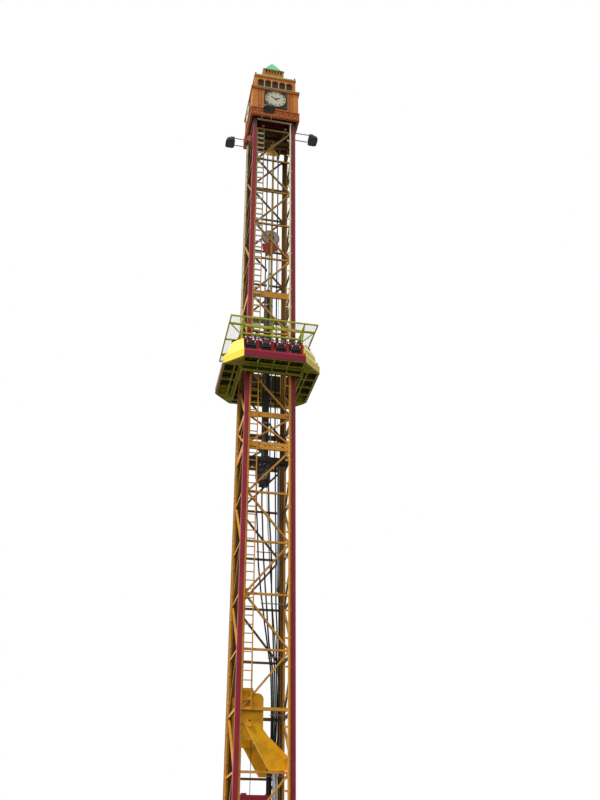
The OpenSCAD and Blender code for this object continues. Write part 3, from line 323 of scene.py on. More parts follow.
# Faces of seats, aprons and fairings that look down or back towards the mast take a painted shade colour; on
# the seats it is partly the darker bare backs of the shells
surface("seat_shell", (186, 20, 36), (208, 36, 50), 3.0, GLOSS, 0.1, 120, GRIME, 0.2,
        inner=UNDERSIDE_SHADE, on="front_bench left_bench back_bench right_bench")
surface("apron_shell", (120, 8, 36), (142, 18, 46), 2.0, (0.28, 0.42), 0.1, 120, GRIME, 0.3,
        inner=UNDERSIDE_SHADE, on="aprons")
surface("fairing_shell", (242, 216, 54), (250, 230, 80), 1.2, GLOSS, 0.05, 120, GRIME, 0.2, RUNS,
        coat=0.1, inner=(110, 98, 36), on="corner_fairings")
surface("pad_foam", (32, 32, 34), (48, 48, 50), 8.0, (0.5, 0.7), 0.5, 240, GRIME, 0.3)
surface("hose_rubber", (24, 25, 28), (40, 42, 46), 6.0, (0.65, 0.85), 0.2, 160, GRIME, 0.3, RUNS)
# Grey-blue sleeve: the hose's dark blue lightened by a painted sheen
surface("hose_sleeve", (104, 116, 138), (140, 150, 168), 6.0, GLOSS, 0.1, 160, GRIME, 0.4, RUNS)
surface("lamp_body", (52, 50, 46), (70, 66, 60), 6.0, SATIN, 0.3, 80, RUST, 0.4, RUNS)
surface("lamp_glass", (58, 60, 58), (78, 80, 76), 3.0, (0.05, 0.12), 0.0, 80, GRIME, 0.3, coat=0.8)


# Places, lines and profiles
def side(k):
    """The turn that brings something built for the front to side k."""
    return Matrix.Rotation(math.radians(TURNS[k]), 4, "Z")


def sides(*shapes):
    """The number of each side in turn, with the shapes set to be built there."""
    for k in range(4):
        for shape in shapes:
            shape.at = side(k)
        yield k


def bench_point(x, s, rise):
    """A point on the front bench: along it, out from the carriage, and up from the aprons' foot."""
    return Vector((x, -(BACK_PLANE + s), GONDOLA_Z + rise))


def mix(a, b, t):
    return a + (b - a) * t


def ease(t):
    return t * t * (3 - 2 * t)


def steps(a, b, n):
    """Points from a to b, n even steps apart."""
    return [tuple(mix(p, q, i / n) for p, q in zip(a, b)) for i in range(n + 1)]


def row(n, pitch):
    """The places of n things in a row, evenly about the middle."""
    return [(i - (n - 1) / 2) * pitch for i in range(n)]


def arc(centre, r, a0, a1, n):
    """Points on an arc in a plane, angles in degrees."""
    angles = [math.radians(mix(a0, a1, i / n)) for i in range(n + 1)]
    return [(centre[0] + r * math.cos(a), centre[1] + r * math.sin(a)) for a in angles]


def circle(r, n, start=0.0):
    """Points on a circle in a plane; the first one stands at the angle start."""
    angles = [2 * math.pi * i / n + start for i in range(n)]
    return [(r * math.cos(a), r * math.sin(a)) for a in angles]


def rounded(w, d, power, n):
    """Points round a rectangle with round corners, w and d from its middle to its sides."""
    return [(math.copysign(abs(c) ** power, c) * w, math.copysign(abs(s) ** power, s) * d)
            for c, s in circle(1, n)]


def collar(r0, r1, half, shoulder):
    """The profile of a ring, from radius r0 at its ends to r1 between its shoulders."""
    return [(r0, -half), (r1, -shoulder), (r1, shoulder), (r0, half)]


def cap(r, h, top_r, top_h):
    """The profile of a round cap with a chamfered rim."""
    return [(r, 0.0), (r, h), (top_r, top_h), (0.0, top_h)]


# Mesh helpers
class Shape:
    """The vertices and faces of one piece, gathered in metres. `at` places what is added next."""

    def __init__(self):
        self.verts = []
        self.faces = []
        self.at = Matrix.Identity(4)

    def add(self, verts, faces):
        start = len(self.verts)
        self.verts += [self.at @ Vector(v) for v in verts]
        self.faces += [tuple(start + i for i in f) for f in faces]

    def rings(self, rings):
        """A closed skin over a row of rings with the same number of points."""
        n = len(rings[0])
        last = (len(rings) - 1) * n
        faces = [tuple(reversed(range(n))), tuple(range(last, last + n))]
        for a in range(0, last, n):
            faces += [(a + i, a + (i + 1) % n, a + n + (i + 1) % n, a + n + i) for i in range(n)]
        self.add([p for ring in rings for p in ring], faces)

    def box(self, low, high):
        (x0, y0, z0), (x1, y1, z1) = low, high
        self.rings([[(x0, y0, z), (x1, y0, z), (x1, y1, z), (x0, y1, z)] for z in (z0, z1)])

    def slab(self, x, half, z0, z1, y, depth):
        """A flat rectangle, half its width to each side of x, that stands out from the plane y."""
        self.box((x - half, y - depth, z0), (x + half, y, z1))

    def plate(self, outline, y0, y1):
        """A flat outline in X and Z, from y0 back to y1."""
        self.rings([[(x, y, z) for x, z in outline] for y in (y0, y1)])

    def tube(self, path, radius, count=10):
        """A round tube along a path; radius may be a number or one for each point."""
        path = [Vector(p) for p in path]
        last = len(path) - 1
        radii = radius if isinstance(radius, list) else [radius] * len(path)
        rings = []
        up = None
        for i, p in enumerate(path):
            along = (path[min(i + 1, last)] - path[max(i - 1, 0)]).normalized()
            if up is None:
                up = Vector((0, 0, 1)) if abs(along.z) < 0.9 else Vector((1, 0, 0))
            across = along.cross(up).normalized()
            up = across.cross(along).normalized()
            rings.append([p + across * x + up * y for x, y in circle(radii[i], count)])
        self.rings(rings)

    def lathe(self, profile, centre, axis, count=32):
        """A body of revolution; profile gives radius and distance along the axis."""
        turn = Vector(axis).normalized().to_track_quat("Z", "Y").to_matrix()
        self.rings([[Vector(centre) + turn @ Vector((x, y, h)) for x, y in circle(r, count)]
                    for r, h in profile])

    def bolt(self, point, out, r=0.014, h=0.01):
        """A washer and a hexagon head standing on a surface."""
        self.lathe([(r * 1.25, 0.0), (r * 1.25, h * 0.25)], point, out, 10)
        self.lathe([(r, h * 0.2), (r, h)], point, out, 6)

    def band(self, points, width, depth, y):
        """A raised strip along a line in X and Z that stands out from the plane y."""
        for a, b in zip(points, points[1:]):
            a, b = Vector(a), Vector(b)
            along = (b - a).normalized() * (width / 2)
            across = Vector((-along.y, along.x))
            a, b = a - along, b + along
            self.plate([a + across, a - across, b - across, b + across], y - depth, y)

    def frame(self, x, half, z0, z1, width, depth, y):
        """A raised rectangular frame, its outer edge as given."""
        self.slab(x, half, z0, z0 + width, y, depth)
        self.slab(x, half, z1 - width, z1, y, depth)
        for s in (-1, 1):
            self.slab(x + s * (half - width / 2), width / 2, z0 + width, z1 - width, y, depth)

    def piece(self, name, mat, body="mast", bevel=0.0, smooth=False):
        me = bpy.data.meshes.new(name)
        me.from_pydata([tuple(v) for v in self.verts], [], self.faces)
        bm = bmesh.new()
        bm.from_mesh(me)
        bmesh.ops.recalc_face_normals(bm, faces=bm.faces)
        bm.to_mesh(me)
        bm.free()
        me.materials.append(MAT[mat])
        if smooth:
            me.shade_smooth()
        ob = add_object(name, me)
        if bevel:
            mod = ob.modifiers.new("edges", "BEVEL")
            mod.width = bevel
            mod.segments = 1
            mod.limit_method = "ANGLE"
            mod.angle_limit = math.radians(40)
        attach(ob, body)
        return ob


def shapes(n):
    return [Shape() for _ in range(n)]


# Mast: bolts, gussets and fixings
def diagonals():
    """Each diagonal's side and bay, and 1 where it rises to the right seen from outside, else -1."""
    for k in range(4):
        for i in range(len(LEVELS) - 1):
            if i != LOWER_BAYS and (i != ARM_BAY or k % 2):
                rises_right = (i - LOWER_BAYS) % 2 == (0 if i > LOWER_BAYS else 1)
                yield k, i, 1 if rises_right == (k < 2) else -1


def make_flange_bolts():
    pitch = 0.18
    bolts = Shape()
    for _ in sides(bolts):
        for s in (-1, 1):
            for i in range(round((TOP_NODE - FIRST_NODE) / pitch)):
                bolts.bolt((s * (CLEAR - FLANGE / 2), -FACE, FIRST_NODE + (i + 0.5) * pitch), OUT)
    bolts.piece("flange_bolts", "zinc_plate")


def make_gussets():
    """Plates where the diagonals meet the flange strips, with their bolts."""
    reach, lip, rise, overlap, thick = 0.07, 0.04, 0.12, 0.055, 0.006
    plates, bolts = shapes(2)
    for k, i, s in diagonals():
        plates.at = bolts.at = side(k)
        for sx, z, up in ((-s, LEVELS[i] + BAR_HALF, 1), (s, LEVELS[i + 1] - BAR_HALF, -1)):
            x, inner = sx * (HOLE + overlap), sx * (HOLE - reach)
            plates.plate([(x, z), (inner, z), (inner, z + up * lip), (sx * (HOLE - 0.02), z + up * rise),
                          (x, z + up * rise)], -FACE - thick, -FACE)
            for dx, dz in ((0.03, 0.035), (0.03, 0.09), (0.09, 0.025)):
                bolts.bolt((x - sx * dx, -FACE - thick, z + up * dz), OUT, 0.011)
    plates.piece("gusset_plates", "ochre_paint", bevel=0.002)
    bolts.piece("gusset_bolts", "zinc_plate")


def make_brace_legs():
    """The second leg of each diagonal's angle section, along its lower edge, darker than the lattice as
    painted shade.
    """
    thick, foot_gap, head_gap = 0.01, 0.075, 0.035
    legs = Shape()
    for k, i, s in diagonals():
        legs.at = side(k)
        z0 = LEVELS[i] + DEEP_HALF.get(i, BAR_HALF)
        z1 = LEVELS[i + 1] - DEEP_HALF.get(i + 1, BAR_HALF)
        slope = (z1 - z0) / (2 * HOLE)
        half_brace = BRACE / 2 * math.hypot(1, slope)
        foot = Vector((-s * (HOLE - half_brace / slope), z0))
        head = Vector((s * HOLE, z1 - half_brace))
        along = (head - foot).normalized()
        down = Vector((along.y, -along.x)) * (s * thick)
        foot, head = foot + along * foot_gap, head - along * head_gap
        legs.plate([foot, foot + down, head + down, head], -FACE + 0.002, -FACE + 0.066)
    legs.piece("brace_legs", "leg_shade")


def make_rail_fixings():
    """A clip on each side of the rails at every bracket, the inner one a long arm, with two bolts."""
    swap = Matrix(((0, -1, 0), (-1, 0, 0), (0, 0, 1))).to_4x4()
    levels = [z + share * BAY for z in LEVELS for share in (0.22, 0.72)]
    clips, bolts = shapes(2)
    for at in (side(0), side(0) @ swap, side(2), side(2) @ swap):
        clips.at = bolts.at = at
        for z in levels:
            if z < TOP_NODE - 0.06:
                clips.box((RAIL_X - 0.14, -HALF - 0.012, z - 0.03), (RAIL_X - 0.026, -HALF, z + 0.03))
                clips.box((RAIL_X + 0.026, -HALF - 0.014, z - 0.026), (RAIL_X + 0.055, -HALF, z + 0.026))
                for dx in (-0.045, 0.041):
                    bolts.bolt((RAIL_X + dx, -HALF - 0.014, z), OUT, 0.011)
    clips.piece("rail_clips", "cream_paint", bevel=0.003)
    bolts.piece("rail_bolts", "zinc_plate")


def make_base_fittings():
    """Nuts and washers on the anchors, and gussets with bolts at the column feet."""
    column = HALF - COLUMN_HALF
    profile = ((-0.075, 0), (-0.14, 0), (-0.135, 0.03), (-0.075, 0.16))
    nuts, gussets = shapes(2)
    for sx, sy in CORNERS:
        nuts.at = Matrix.Translation((sx * ANCHOR, sy * ANCHOR, PAD_TOP))
        for line, count in (([(0.05, 0.0), (0.05, 0.008)], 24), ([(0.034, 0.008), (0.034, 0.04)], 6),
                            ([(0.021, 0.04), (0.021, 0.075), (0.017, 0.08)], 16)):
            nuts.lathe(line, (0, 0, 0), UP, count)
        for k in range(4):
            foot = Matrix.Translation((sx * column, sy * column, BASE_TOP + 0.04))
            gussets.at = nuts.at = foot @ side(k)
            gussets.rings([[(x, y, z) for y, z in profile] for x in (-0.006, 0.006)])
            for x in (-0.095, 0.095):
                nuts.bolt((x, -0.115, 0.0), UP, 0.018, 0.018)
    nuts.piece("anchor_nuts", "zinc_plate")
    gussets.piece("foot_gussets", "dark_paint")


# Mast: hoses, cables and drive
# Radius and depth of each hose, and its line from the top down as height and place along X
HOSES = (
    (0.027, 0.09, ((14.94, -0.276), (14.27, -0.278), (13.96, -0.272), (12.46, -0.189), (11.63, -0.155),
        (10.86, -0.071), (9.6, 0.093), (9.04, 0.182), (8.05, 0.33), (7.1, 0.372), (5.9, 0.372),
        (5.2, 0.262))),
    (0.027, 0.1, ((14.6, -0.066), (13.98, -0.073), (12.84, -0.018), (11.75, 0.032), (11.2, 0.078),
        (9.7, 0.193), (9.04, 0.243), (8.05, 0.392), (7.1, 0.43), (5.9, 0.424), (5.2, 0.292))),
    (0.027, 0.09, ((14.94, 0.148), (14.00, 0.181), (11.66, 0.31), (10.6, 0.322), (9.05, 0.397),
        (8.05, 0.454), (7.1, 0.488), (5.9, 0.476), (5.2, 0.322))),
    (0.025, 0.1, ((15.5, 0.405), (14.8, 0.411), (11.56, 0.466), (10.33, 0.477), (9.26, 0.53),
        (8.05, 0.52), (7.1, 0.548), (5.9, 0.528), (5.2, 0.35))),
    (0.027, 0.11, ((10.66, 0.566), (10.4, 0.588), (9.8, 0.6), (9.3, 0.6), (8.05, 0.607),
        (7.1, 0.616), (5.9, 0.59), (5.2, 0.386))),
)


def hose_x(line, z):
    """The place along X at a height, a little eased between points; under the last one it stays."""
    for (z0, x0), (z1, x1) in zip(line, line[1:]):
        if z1 <= z <= z0:
            t = (z0 - z) / (z0 - z1)
            return mix(x0, x1, 0.4 * ease(t) + 0.6 * t)
    return line[-1][1]


def smoothed(path):
    """The path with each inner point drawn halfway to the middle of its neighbours."""
    inner = [tuple((p + 2 * q + r) / 4 for p, q, r in zip(a, b, c))
             for a, b, c in zip(path, path[1:], path[2:])]
    return [path[0]] + inner + [path[-1]]


def make_hoses():
    """Five hydraulic hoses that gather towards the foot of the mast, in clamps, with pressed couplings.

    The last one starts under a stiff sleeve, dark blue lightened to grey-blue by a painted sheen, that comes
    down from the drive.
    """
    count = 110
    hoses, sleeve, ends, clamps, caps = shapes(5)
    top, middle, low = (0.53, 0.11, 15.5), (0.535, 0.11, 14.00), (0.56, 0.11, 10.8)
    sleeve.tube(steps(top, middle, 4) + steps(middle, low, 8)[1:], 0.044, 16)
    caps.lathe([(0.03, 0.0), (0.054, 0.02), (0.054, 0.16), (0.048, 0.18)], (0.561, 0.11, 10.64), UP, 20)
    caps.lathe([(0.046, 0.0), (0.052, 0.01), (0.052, 0.1), (0.03, 0.12)], (0.53, 0.11, 15.44), UP, 20)
    caps.piece("sleeve_caps", "dark_paint")
    clamp_levels = LEVELS[1:LOWER_BAYS - 1]
    for r, y, line in HOSES:
        foot_x = line[-1][1] - 0.006
        line = line + ((4.8, foot_x), (BASE_TOP, foot_x))
        top = line[0][0]
        heights = [mix(top, BASE_TOP, i / count) for i in range(count + 1)]
        hoses.tube(smoothed(smoothed([(hose_x(line, z), y, z) for z in heights])), r, 12)
        for z, up in ((top, -1), (BASE_TOP, 1)):
            at = (hose_x(line, z), y, z)
            ends.lathe([(r + 0.006, 0), (r + 0.006, 0.03), (r + 0.003, 0.035), (r + 0.003, 0.12), (r, 0.13)],
                       at, (0, 0, up), 16)
            ends.lathe([(r + 0.009, 0.035), (r + 0.009, 0.065)], at, (0, 0, up), 6)
        for z in clamp_levels:
            if z < top:
                clamps.lathe(collar(r, r + 0.005, 0.016, 0.016), (hose_x(line, z), y, z), UP, 16)
    for z in clamp_levels:
        left = hose_x(HOSES[0][2], z) - 0.05
        clamps.box((left, 0.118, z - 0.016), (-LATTICE_BACK, 0.136, z + 0.016))
    main = hoses.piece("hydraulic_hoses", "hose_rubber", smooth=True)
    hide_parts("hose_bundle")
    sleeve.piece("sleeved_hose", "hose_sleeve", smooth=True)
    ends.piece("hose_couplings", "zinc_plate", bevel=0.001)
    clamps.piece("hose_clamps", "zinc_plate", bevel=0.002)


def make_drive_details():
    """Flange bolts, gland ring, side pipe and fittings on the drive cylinder and its valve block."""
    foot = CRADLE_Z + 0.18
    block_y = -0.178
    pipe_x, pipe_r = 0.19, 0.016
    steel, pipes, blocks = shapes(3)
    for x, y in circle(0.152, 12):
        steel.bolt((x, y, foot + 0.06), UP, 0.014, 0.018)
    for x, y in circle(CYL_R, 12):
        steel.bolt((x, y, CYL_TOP), UP, 0.01, 0.012)
    steel.lathe([(0.085, 0.0), (0.085, 0.03), (0.07, 0.045), (0.06, 0.045)], (0, 0, CYL_TOP), UP)
    pipes.tube([(0.15, 0, CYL_TOP - 0.08), (0.185, 0, CYL_TOP - 0.1), (pipe_x, 0, CYL_TOP - 0.16),
                (pipe_x, 0, 19.0), (pipe_x, 0, foot + 0.14), (pipe_x, -0.02, foot + 0.08),
                (pipe_x, -0.03, foot)], pipe_r, 12)
    for z in (17.0, 18.4, 19.8, 21.2, 22.4):
        steel.lathe(collar(CYL_R, CYL_R + 0.002, 0.02, 0.018), (0, 0, z), UP, 40)
        blocks.box((0.118, -0.022, z - 0.018), (0.212, 0.022, z + 0.018))
    ports = ((-0.22, 15.2, 0.1), (-0.06, 15.24, 0.12), (0.09, 15.16, 0.14), (-0.16, 14.98, 0.1),
             (0.02, 15.00, 0.12))
    for x, z, reach in ports:
        steel.lathe([(0.03, 0.0), (0.03, 0.03), (0.022, 0.03), (0.022, reach), (0.018, 0.11)],
                    (x, -0.18, z), OUT, 12)
    for x, z in ((-0.26, 14.92), (0.1, 14.95)):
        blocks.lathe([(0.0, -0.27), (0.045, -0.25), (0.062, -0.21), (0.062, 0.16), (0.045, 0.2),
                      (0.018, 0.215), (0.018, 0.25)], (x, -0.245, z - 0.2), UP, 24)
        blocks.slab(x, 0.05, z - 0.24, z - 0.16, block_y, 0.022)
    for x0, x1, z0, z1 in ((-0.2, -0.05, 14.7, 14.95), (0.0, 0.12, 14.62, 15.05),
                           (-0.12, 0.06, 14.56, 14.8)):
        pipes.tube([(x0, block_y, z0), (x0, -0.23, z0), (x0, -0.255, mix(z0, z1, 0.3)),
                    (x1, -0.26, mix(z0, z1, 0.7)), (x1, -0.23, z1), (x1, block_y, z1)], 0.012, 8)
    steel.piece("drive_fittings", "zinc_plate", bevel=0.001)
    pipes.piece("drive_pipes", "plain_steel", smooth=True)
    blocks.piece("accumulators", "dark_paint", bevel=0.003)


def make_cables():
    """Control cables from the valve block: one down to the housing, two that lean over to the lattice."""
    top_z, count, sway = 14.62, 60, 0.006
    ends = ((-0.31, -0.285, 0.02, 0.000, 4.26), (0.1, 0.64, -0.15, 0.15, BASE_TOP),
            (0.06, 0.7, -0.15, 0.17, BASE_TOP))
    cables = Shape()
    for i, (x0, x1, y0, y1, low_z) in enumerate(ends):
        path = []
        for t in (j / count for j in range(count + 1)):
            lean = ease(min(1.0, 1.5 * t))
            x = mix(x0, x1, lean) + sway * math.sin(9 * t + i)
            path.append((x, mix(y0, y1, lean), mix(top_z, low_z, t)))
        cables.tube(path, 0.01, 8)
    cables.piece("control_cables", "hose_rubber", smooth=True)


def make_riser_pipes():
    """Two dark pipes behind the wheel on the ram, from the cradle up to the crown beams, with collars."""
    y, r, top = 0.15, 0.026, CROWN_Z - 0.001
    pipes, collars = shapes(2)
    for x in (-0.1, 0.385):
        pipes.tube(steps((x, y, CRADLE_Z + 0.182), (x, y, top), 12), r, 12)
        for i in range(UPPER_BAYS):
            collars.lathe(collar(r, 0.034, 0.03, 0.025), (x, y, UPPER_Z + (i + 0.5) * BAY), UP, 16)
        collars.lathe([(0.05, 0.0), (0.05, 0.014), (0.034, 0.02), (0.034, 0.06), (r, 0.064)], (x, y, top),
                      (0, 0, -1), 20)
    pipes.piece("riser_pipes", "hose_rubber", smooth=True)
    collars.piece("riser_collars", "zinc_plate")


def make_treads():
    """Treads on the rungs above the gondola's middle height, pale as a painted highlight of sunlit rungs."""
    lowest, end = 19.6, 0.01
    section = ((-0.058, -0.016), (-0.0005, -0.016), (-0.0005, 0.018), (-0.066, 0.018))
    treads = Shape()
    for i in range(math.ceil((TOP_NODE - 0.1 - RUNG_Z0) / RUNG_PITCH)):
        z = RUNG_Z0 + i * RUNG_PITCH
        if z > lowest:
            treads.rings([[(x, -FACE + dy, z + dz) for dy, dz in section]
                          for x in (LADDER_X0, LADDER_X0 + end, LADDER_X1 - end, LADDER_X1)])
    treads.piece("ladder_treads", "tread_highlight", bevel=0.002)


def make_guide_bar():
    """The flat bar in front of the wheel on the ram, from the crown beams down to the cylinder."""
    x, front, back, half = 0.085, -0.2, -0.182, 0.036
    bar, bolts = shapes(2)
    bar.rings([[(x - half, front, z), (x + half, front, z), (x + half, back, z), (x - half, back, z)]
               for z in (20.9, 20.94, 31.38, 31.42)])
    for z in (21.2, 22.4):
        bar.box((0.02, back, z - 0.03), (x + 0.05, -0.09, z + 0.03))
        bolts.bolt((x, front, z), OUT)
    for z in (31.36, 31.4):
        bolts.bolt((x, front, z), OUT, 0.011)
    bar.piece("guide_bar", "bar_paint", bevel=0.003)
    bolts.piece("guide_bar_bolts", "zinc_plate")


def make_hinge_caps():
    """Dark caps with collars on the hinge pins, and a pale strip along the edge of each arm, a painted
    highlight of its sunlit edge.
    """
    caps, collars, strips = shapes(3)
    pin = (HINGE[0], LATTICE_BACK, HINGE[1])
    for at in (side(0), side(2) @ Matrix.Scale(-1, 4, (1, 0, 0))):
        caps.at = collars.at = strips.at = at
        strips.band(ARM_EDGE, 0.024, 0.012, LATTICE_BACK)
        caps.lathe(cap(0.03, 0.02, 0.022, 0.028), pin, OUT, 24)
        collars.lathe([(0.06, 0.0), (0.06, 0.006), (0.04, 0.01), (0.03, 0.01)], pin, OUT, 24)
    caps.piece("hinge_caps", "dark_paint")
    collars.piece("hinge_collars", "gold_paint")
    strips.piece("arm_edges", "edge_highlight", bevel=0.002)


def make_wheel_details():
    """Rings and bolts on the wheel of the ram, and caps on its hub and on those of the rope sheaves."""
    web, plate, r_in, r_out = 0.035, 0.039, 0.15, 0.35
    faces, hubs = shapes(2)
    for s in (-1, 1):
        axis = (0, s, 0)
        faces.lathe([(r_out, web), (r_out, plate), (r_in, plate), (r_in, web)],
                    (WHEEL_X, 0, WHEEL_Z), axis, 64)
        hubs.lathe(cap(0.052, 0.012, 0.04, 0.02), (WHEEL_X, s * 0.0675, WHEEL_Z), axis, 24)
        for x, z in circle((r_in + r_out) / 2, 8, 0.2):
            hubs.bolt((WHEEL_X + x, s * plate, WHEEL_Z + z), axis, 0.013)
        for sx in (-1, 1):
            for z in (CROWN_Z + SHEAVE_OFF, FIRST_NODE - BAR_HALF - SHEAVE_OFF):
                hubs.lathe(cap(0.046, 0.012, 0.03, 0.018), (sx * SHEAVE_X, s * 0.045, z), axis, 24)
    faces.piece("wheel_faces", "zinc_plate")
    hubs.piece("wheel_hubs", "zinc_plate")


# Clock head
def make_head_steel():
    """Dark beams under the head, dark red strips in the walls' grooves, and the deck plate."""
    inner = WALL - 0.045
    beams, strips, deck = shapes(3)
    for _ in sides(beams, strips):
        beams.box((-inner, -inner, HEAD_Z + 0.02), (inner, -inner + 0.06, HEAD_Z + 0.12))
        for x in (-0.6, -0.2, 0.2, 0.6):
            beams.box((x - 0.03, -inner + 0.06, HEAD_Z + 0.03), (x + 0.03, LATTICE_BACK, HEAD_Z + 0.1))
        for s in (-1, 1):
            for inset in (0.42, 0.35, 0.28):
                strips.slab(s * (WALL - inset), 0.012, HEAD_Z + 0.471, DECK_Z - 0.001, -WALL + 0.0148, 0.0068)
    beams.at = Matrix.Identity(4)
    for y in (-0.55, 0.0, 0.55):
        beams.box((-0.78, y - 0.04, HEAD_Z + 0.3), (0.78, y + 0.04, HEAD_Z + 0.42))
    for x in (-0.78, 0.78):
        beams.box((x - 0.04, -0.79, HEAD_Z + 0.2), (x + 0.04, 0.79, HEAD_Z + 0.32))
    deck.box((-0.79, -0.79, DECK_Z - 0.03), (0.79, 0.79, DECK_Z - 0.001))
    beams.piece("head_beams", "dark_paint", bevel=0.004)
    strips.piece("groove_strips", "groove_paint")
    deck.piece("head_deck_plate", "dark_paint", bevel=0.003)


def make_dials():
    """Frames round the dark panels, and rims, backs, markers and hands on the dials."""
    panel, dial = (0, PANEL_Y, DIAL_Z), (0, DIAL_Y, DIAL_Z)
    # Half width, reach behind the centre and in front of it, and degrees from twelve
    hands = ((0.0155, 0.062, 0.272, -55), (0.0215, 0.052, 0.202, 62))
    frames, marks, rims = shapes(3)

    def turned(k, degrees):
        return side(k) @ Matrix.Translation(dial) @ Matrix.Rotation(math.radians(degrees), 4, "Y")

    for k in sides(frames, rims):
        frames.frame(0, 0.535, DIAL_Z - 0.525, DIAL_Z + 0.525, 0.045, 0.04, -WALL)
        frames.frame(0, 0.488, DIAL_Z - 0.478, DIAL_Z + 0.478, 0.012, 0.01, PANEL_Y)
        rims.lathe([(0.468, 0.0), (0.468, 0.03), (0.458, 0.036), (0.446, 0.03), (0.446, 0.019)],
                   panel, OUT, 72)
        rims.lathe([(0.335, 0.019), (0.335, 0.022), (0.329, 0.022), (0.329, 0.019)], panel, OUT, 72)
        rims.lathe([(0.465, 0.0), (0.465, 0.012), (0.44, 0.016), (0.0, 0.016)], (0, -WALL + 0.0401, DIAL_Z),
                   (0, 1, 0), 48)
        for i in range(60):
            marks.at = turned(k, 6 * i)
            if i % 5 == 0:
                marks.box((-0.0145, -0.0095, 0.3585), (0.0145, 0.0005, 0.4415))
            else:
                marks.box((-0.004, -0.003, 0.41), (0.004, 0.0005, 0.436))
        for w, behind, ahead, degrees in hands:
            marks.at = turned(k, degrees)
            marks.box((-w, -0.0095, -behind), (w, 0.0005, ahead))
        marks.at = side(k)
        marks.lathe(cap(0.034, 0.016, 0.024, 0.02), dial, OUT, 24)
    frames.piece("panel_frames", "dark_paint", bevel=0.004)
    rims.piece("dial_rims", "stone_paint")
    marks.piece("dial_marks", "dark_paint")


def make_band():
    """Square frames and lozenge mouldings on the lower band, and beads along its edges."""
    panels = 7
    y = -WALL - 0.03
    pitch = 2 * WALL / panels
    w, h = 0.118, 0.15
    z0, z1, zc = HEAD_Z, HEAD_Z + BAND_H, HEAD_Z + 0.22
    frames, tracery = shapes(2)
    for _ in sides(frames, tracery):
        frames.slab(0, WALL + 0.05, z1 - 0.045, z1 + 0.01, y, 0.022)
        frames.slab(0, WALL + 0.04, z0, z0 + 0.035, y, 0.014)
        for x in row(panels + 1, pitch):
            frames.slab(x, 0.02, z0 + 0.03, z1 - 0.04, y, 0.016)
        for x in row(panels, pitch):
            tracery.band([(x - w, zc), (x, zc - h), (x + w, zc), (x, zc + h), (x - w, zc)], 0.02, 0.012, y)
            for sx, sz in CORNERS:
                tracery.band([(x + sx * w * 0.55, zc + sz * h * 0.55), (x + sx * 0.128, zc + sz * 0.175)],
                             0.016, 0.01, y)
    frames.piece("band_frames", "trim_paint", bevel=0.003)
    tracery.piece("band_tracery", "wall_paint")


def make_cornice():
    """Dentils under the cornice and two beads above them."""
    dentils, beads = shapes(2)
    for _ in sides(dentils, beads):
        for x in row(26, 0.082):
            dentils.slab(x, 0.022, DECK_Z + 0.006, DECK_Z + 0.063, -WALL - 0.019, 0.031)
        beads.slab(0, WALL + 0.056, DECK_Z + 0.115, DECK_Z + 0.134, -WALL - 0.049, 0.007)
        beads.slab(0, WALL + 0.036, CORNICE_TOP - 0.014, CORNICE_TOP - 0.002, -WALL - 0.029, 0.007)
    dentils.piece("cornice_dentils", "wall_paint")
    beads.piece("cornice_beads", "stone_paint")


def make_arcade():
    """Mouldings round the arches, a sill, a string course, slim posts and a dark lining behind."""
    half = ARCADE_HALF
    arches, w, pitch, h = 5, 0.27, 0.33, 0.56
    z0 = CORNICE_TOP + 0.04
    r = w / 2 + 0.012
    mouldings, posts, lining = shapes(3)
    for _ in sides(mouldings, posts, lining):
        for x in row(arches, pitch):
            line = [(x - r, z0)] + arc((x, z0 + h - w / 2), r, 180, 0, 14) + [(x + r, z0)]
            mouldings.band(line, 0.02, 0.01, -half)
        for x in row(arches - 1, pitch):
            posts.slab(x, 0.014, z0, z0 + h + 0.03, -half, 0.016)
        lining.slab(0, half - 0.07, CORNICE_TOP + 0.001, ARCADE_TOP - 0.001, -half + 0.068, 0.01)
        mouldings.slab(0, half + 0.006, CORNICE_TOP + 0.004, CORNICE_TOP + 0.034, -half + 0.001, 0.019)
        mouldings.slab(0, half + 0.006, ARCADE_TOP - 0.09, ARCADE_TOP - 0.07, -half + 0.001, 0.015)
    mouldings.piece("arcade_mouldings", "trim_paint")
    posts.piece("arcade_posts", "stone_paint", bevel=0.002)
    lining.piece("arcade_lining", "dark_paint")


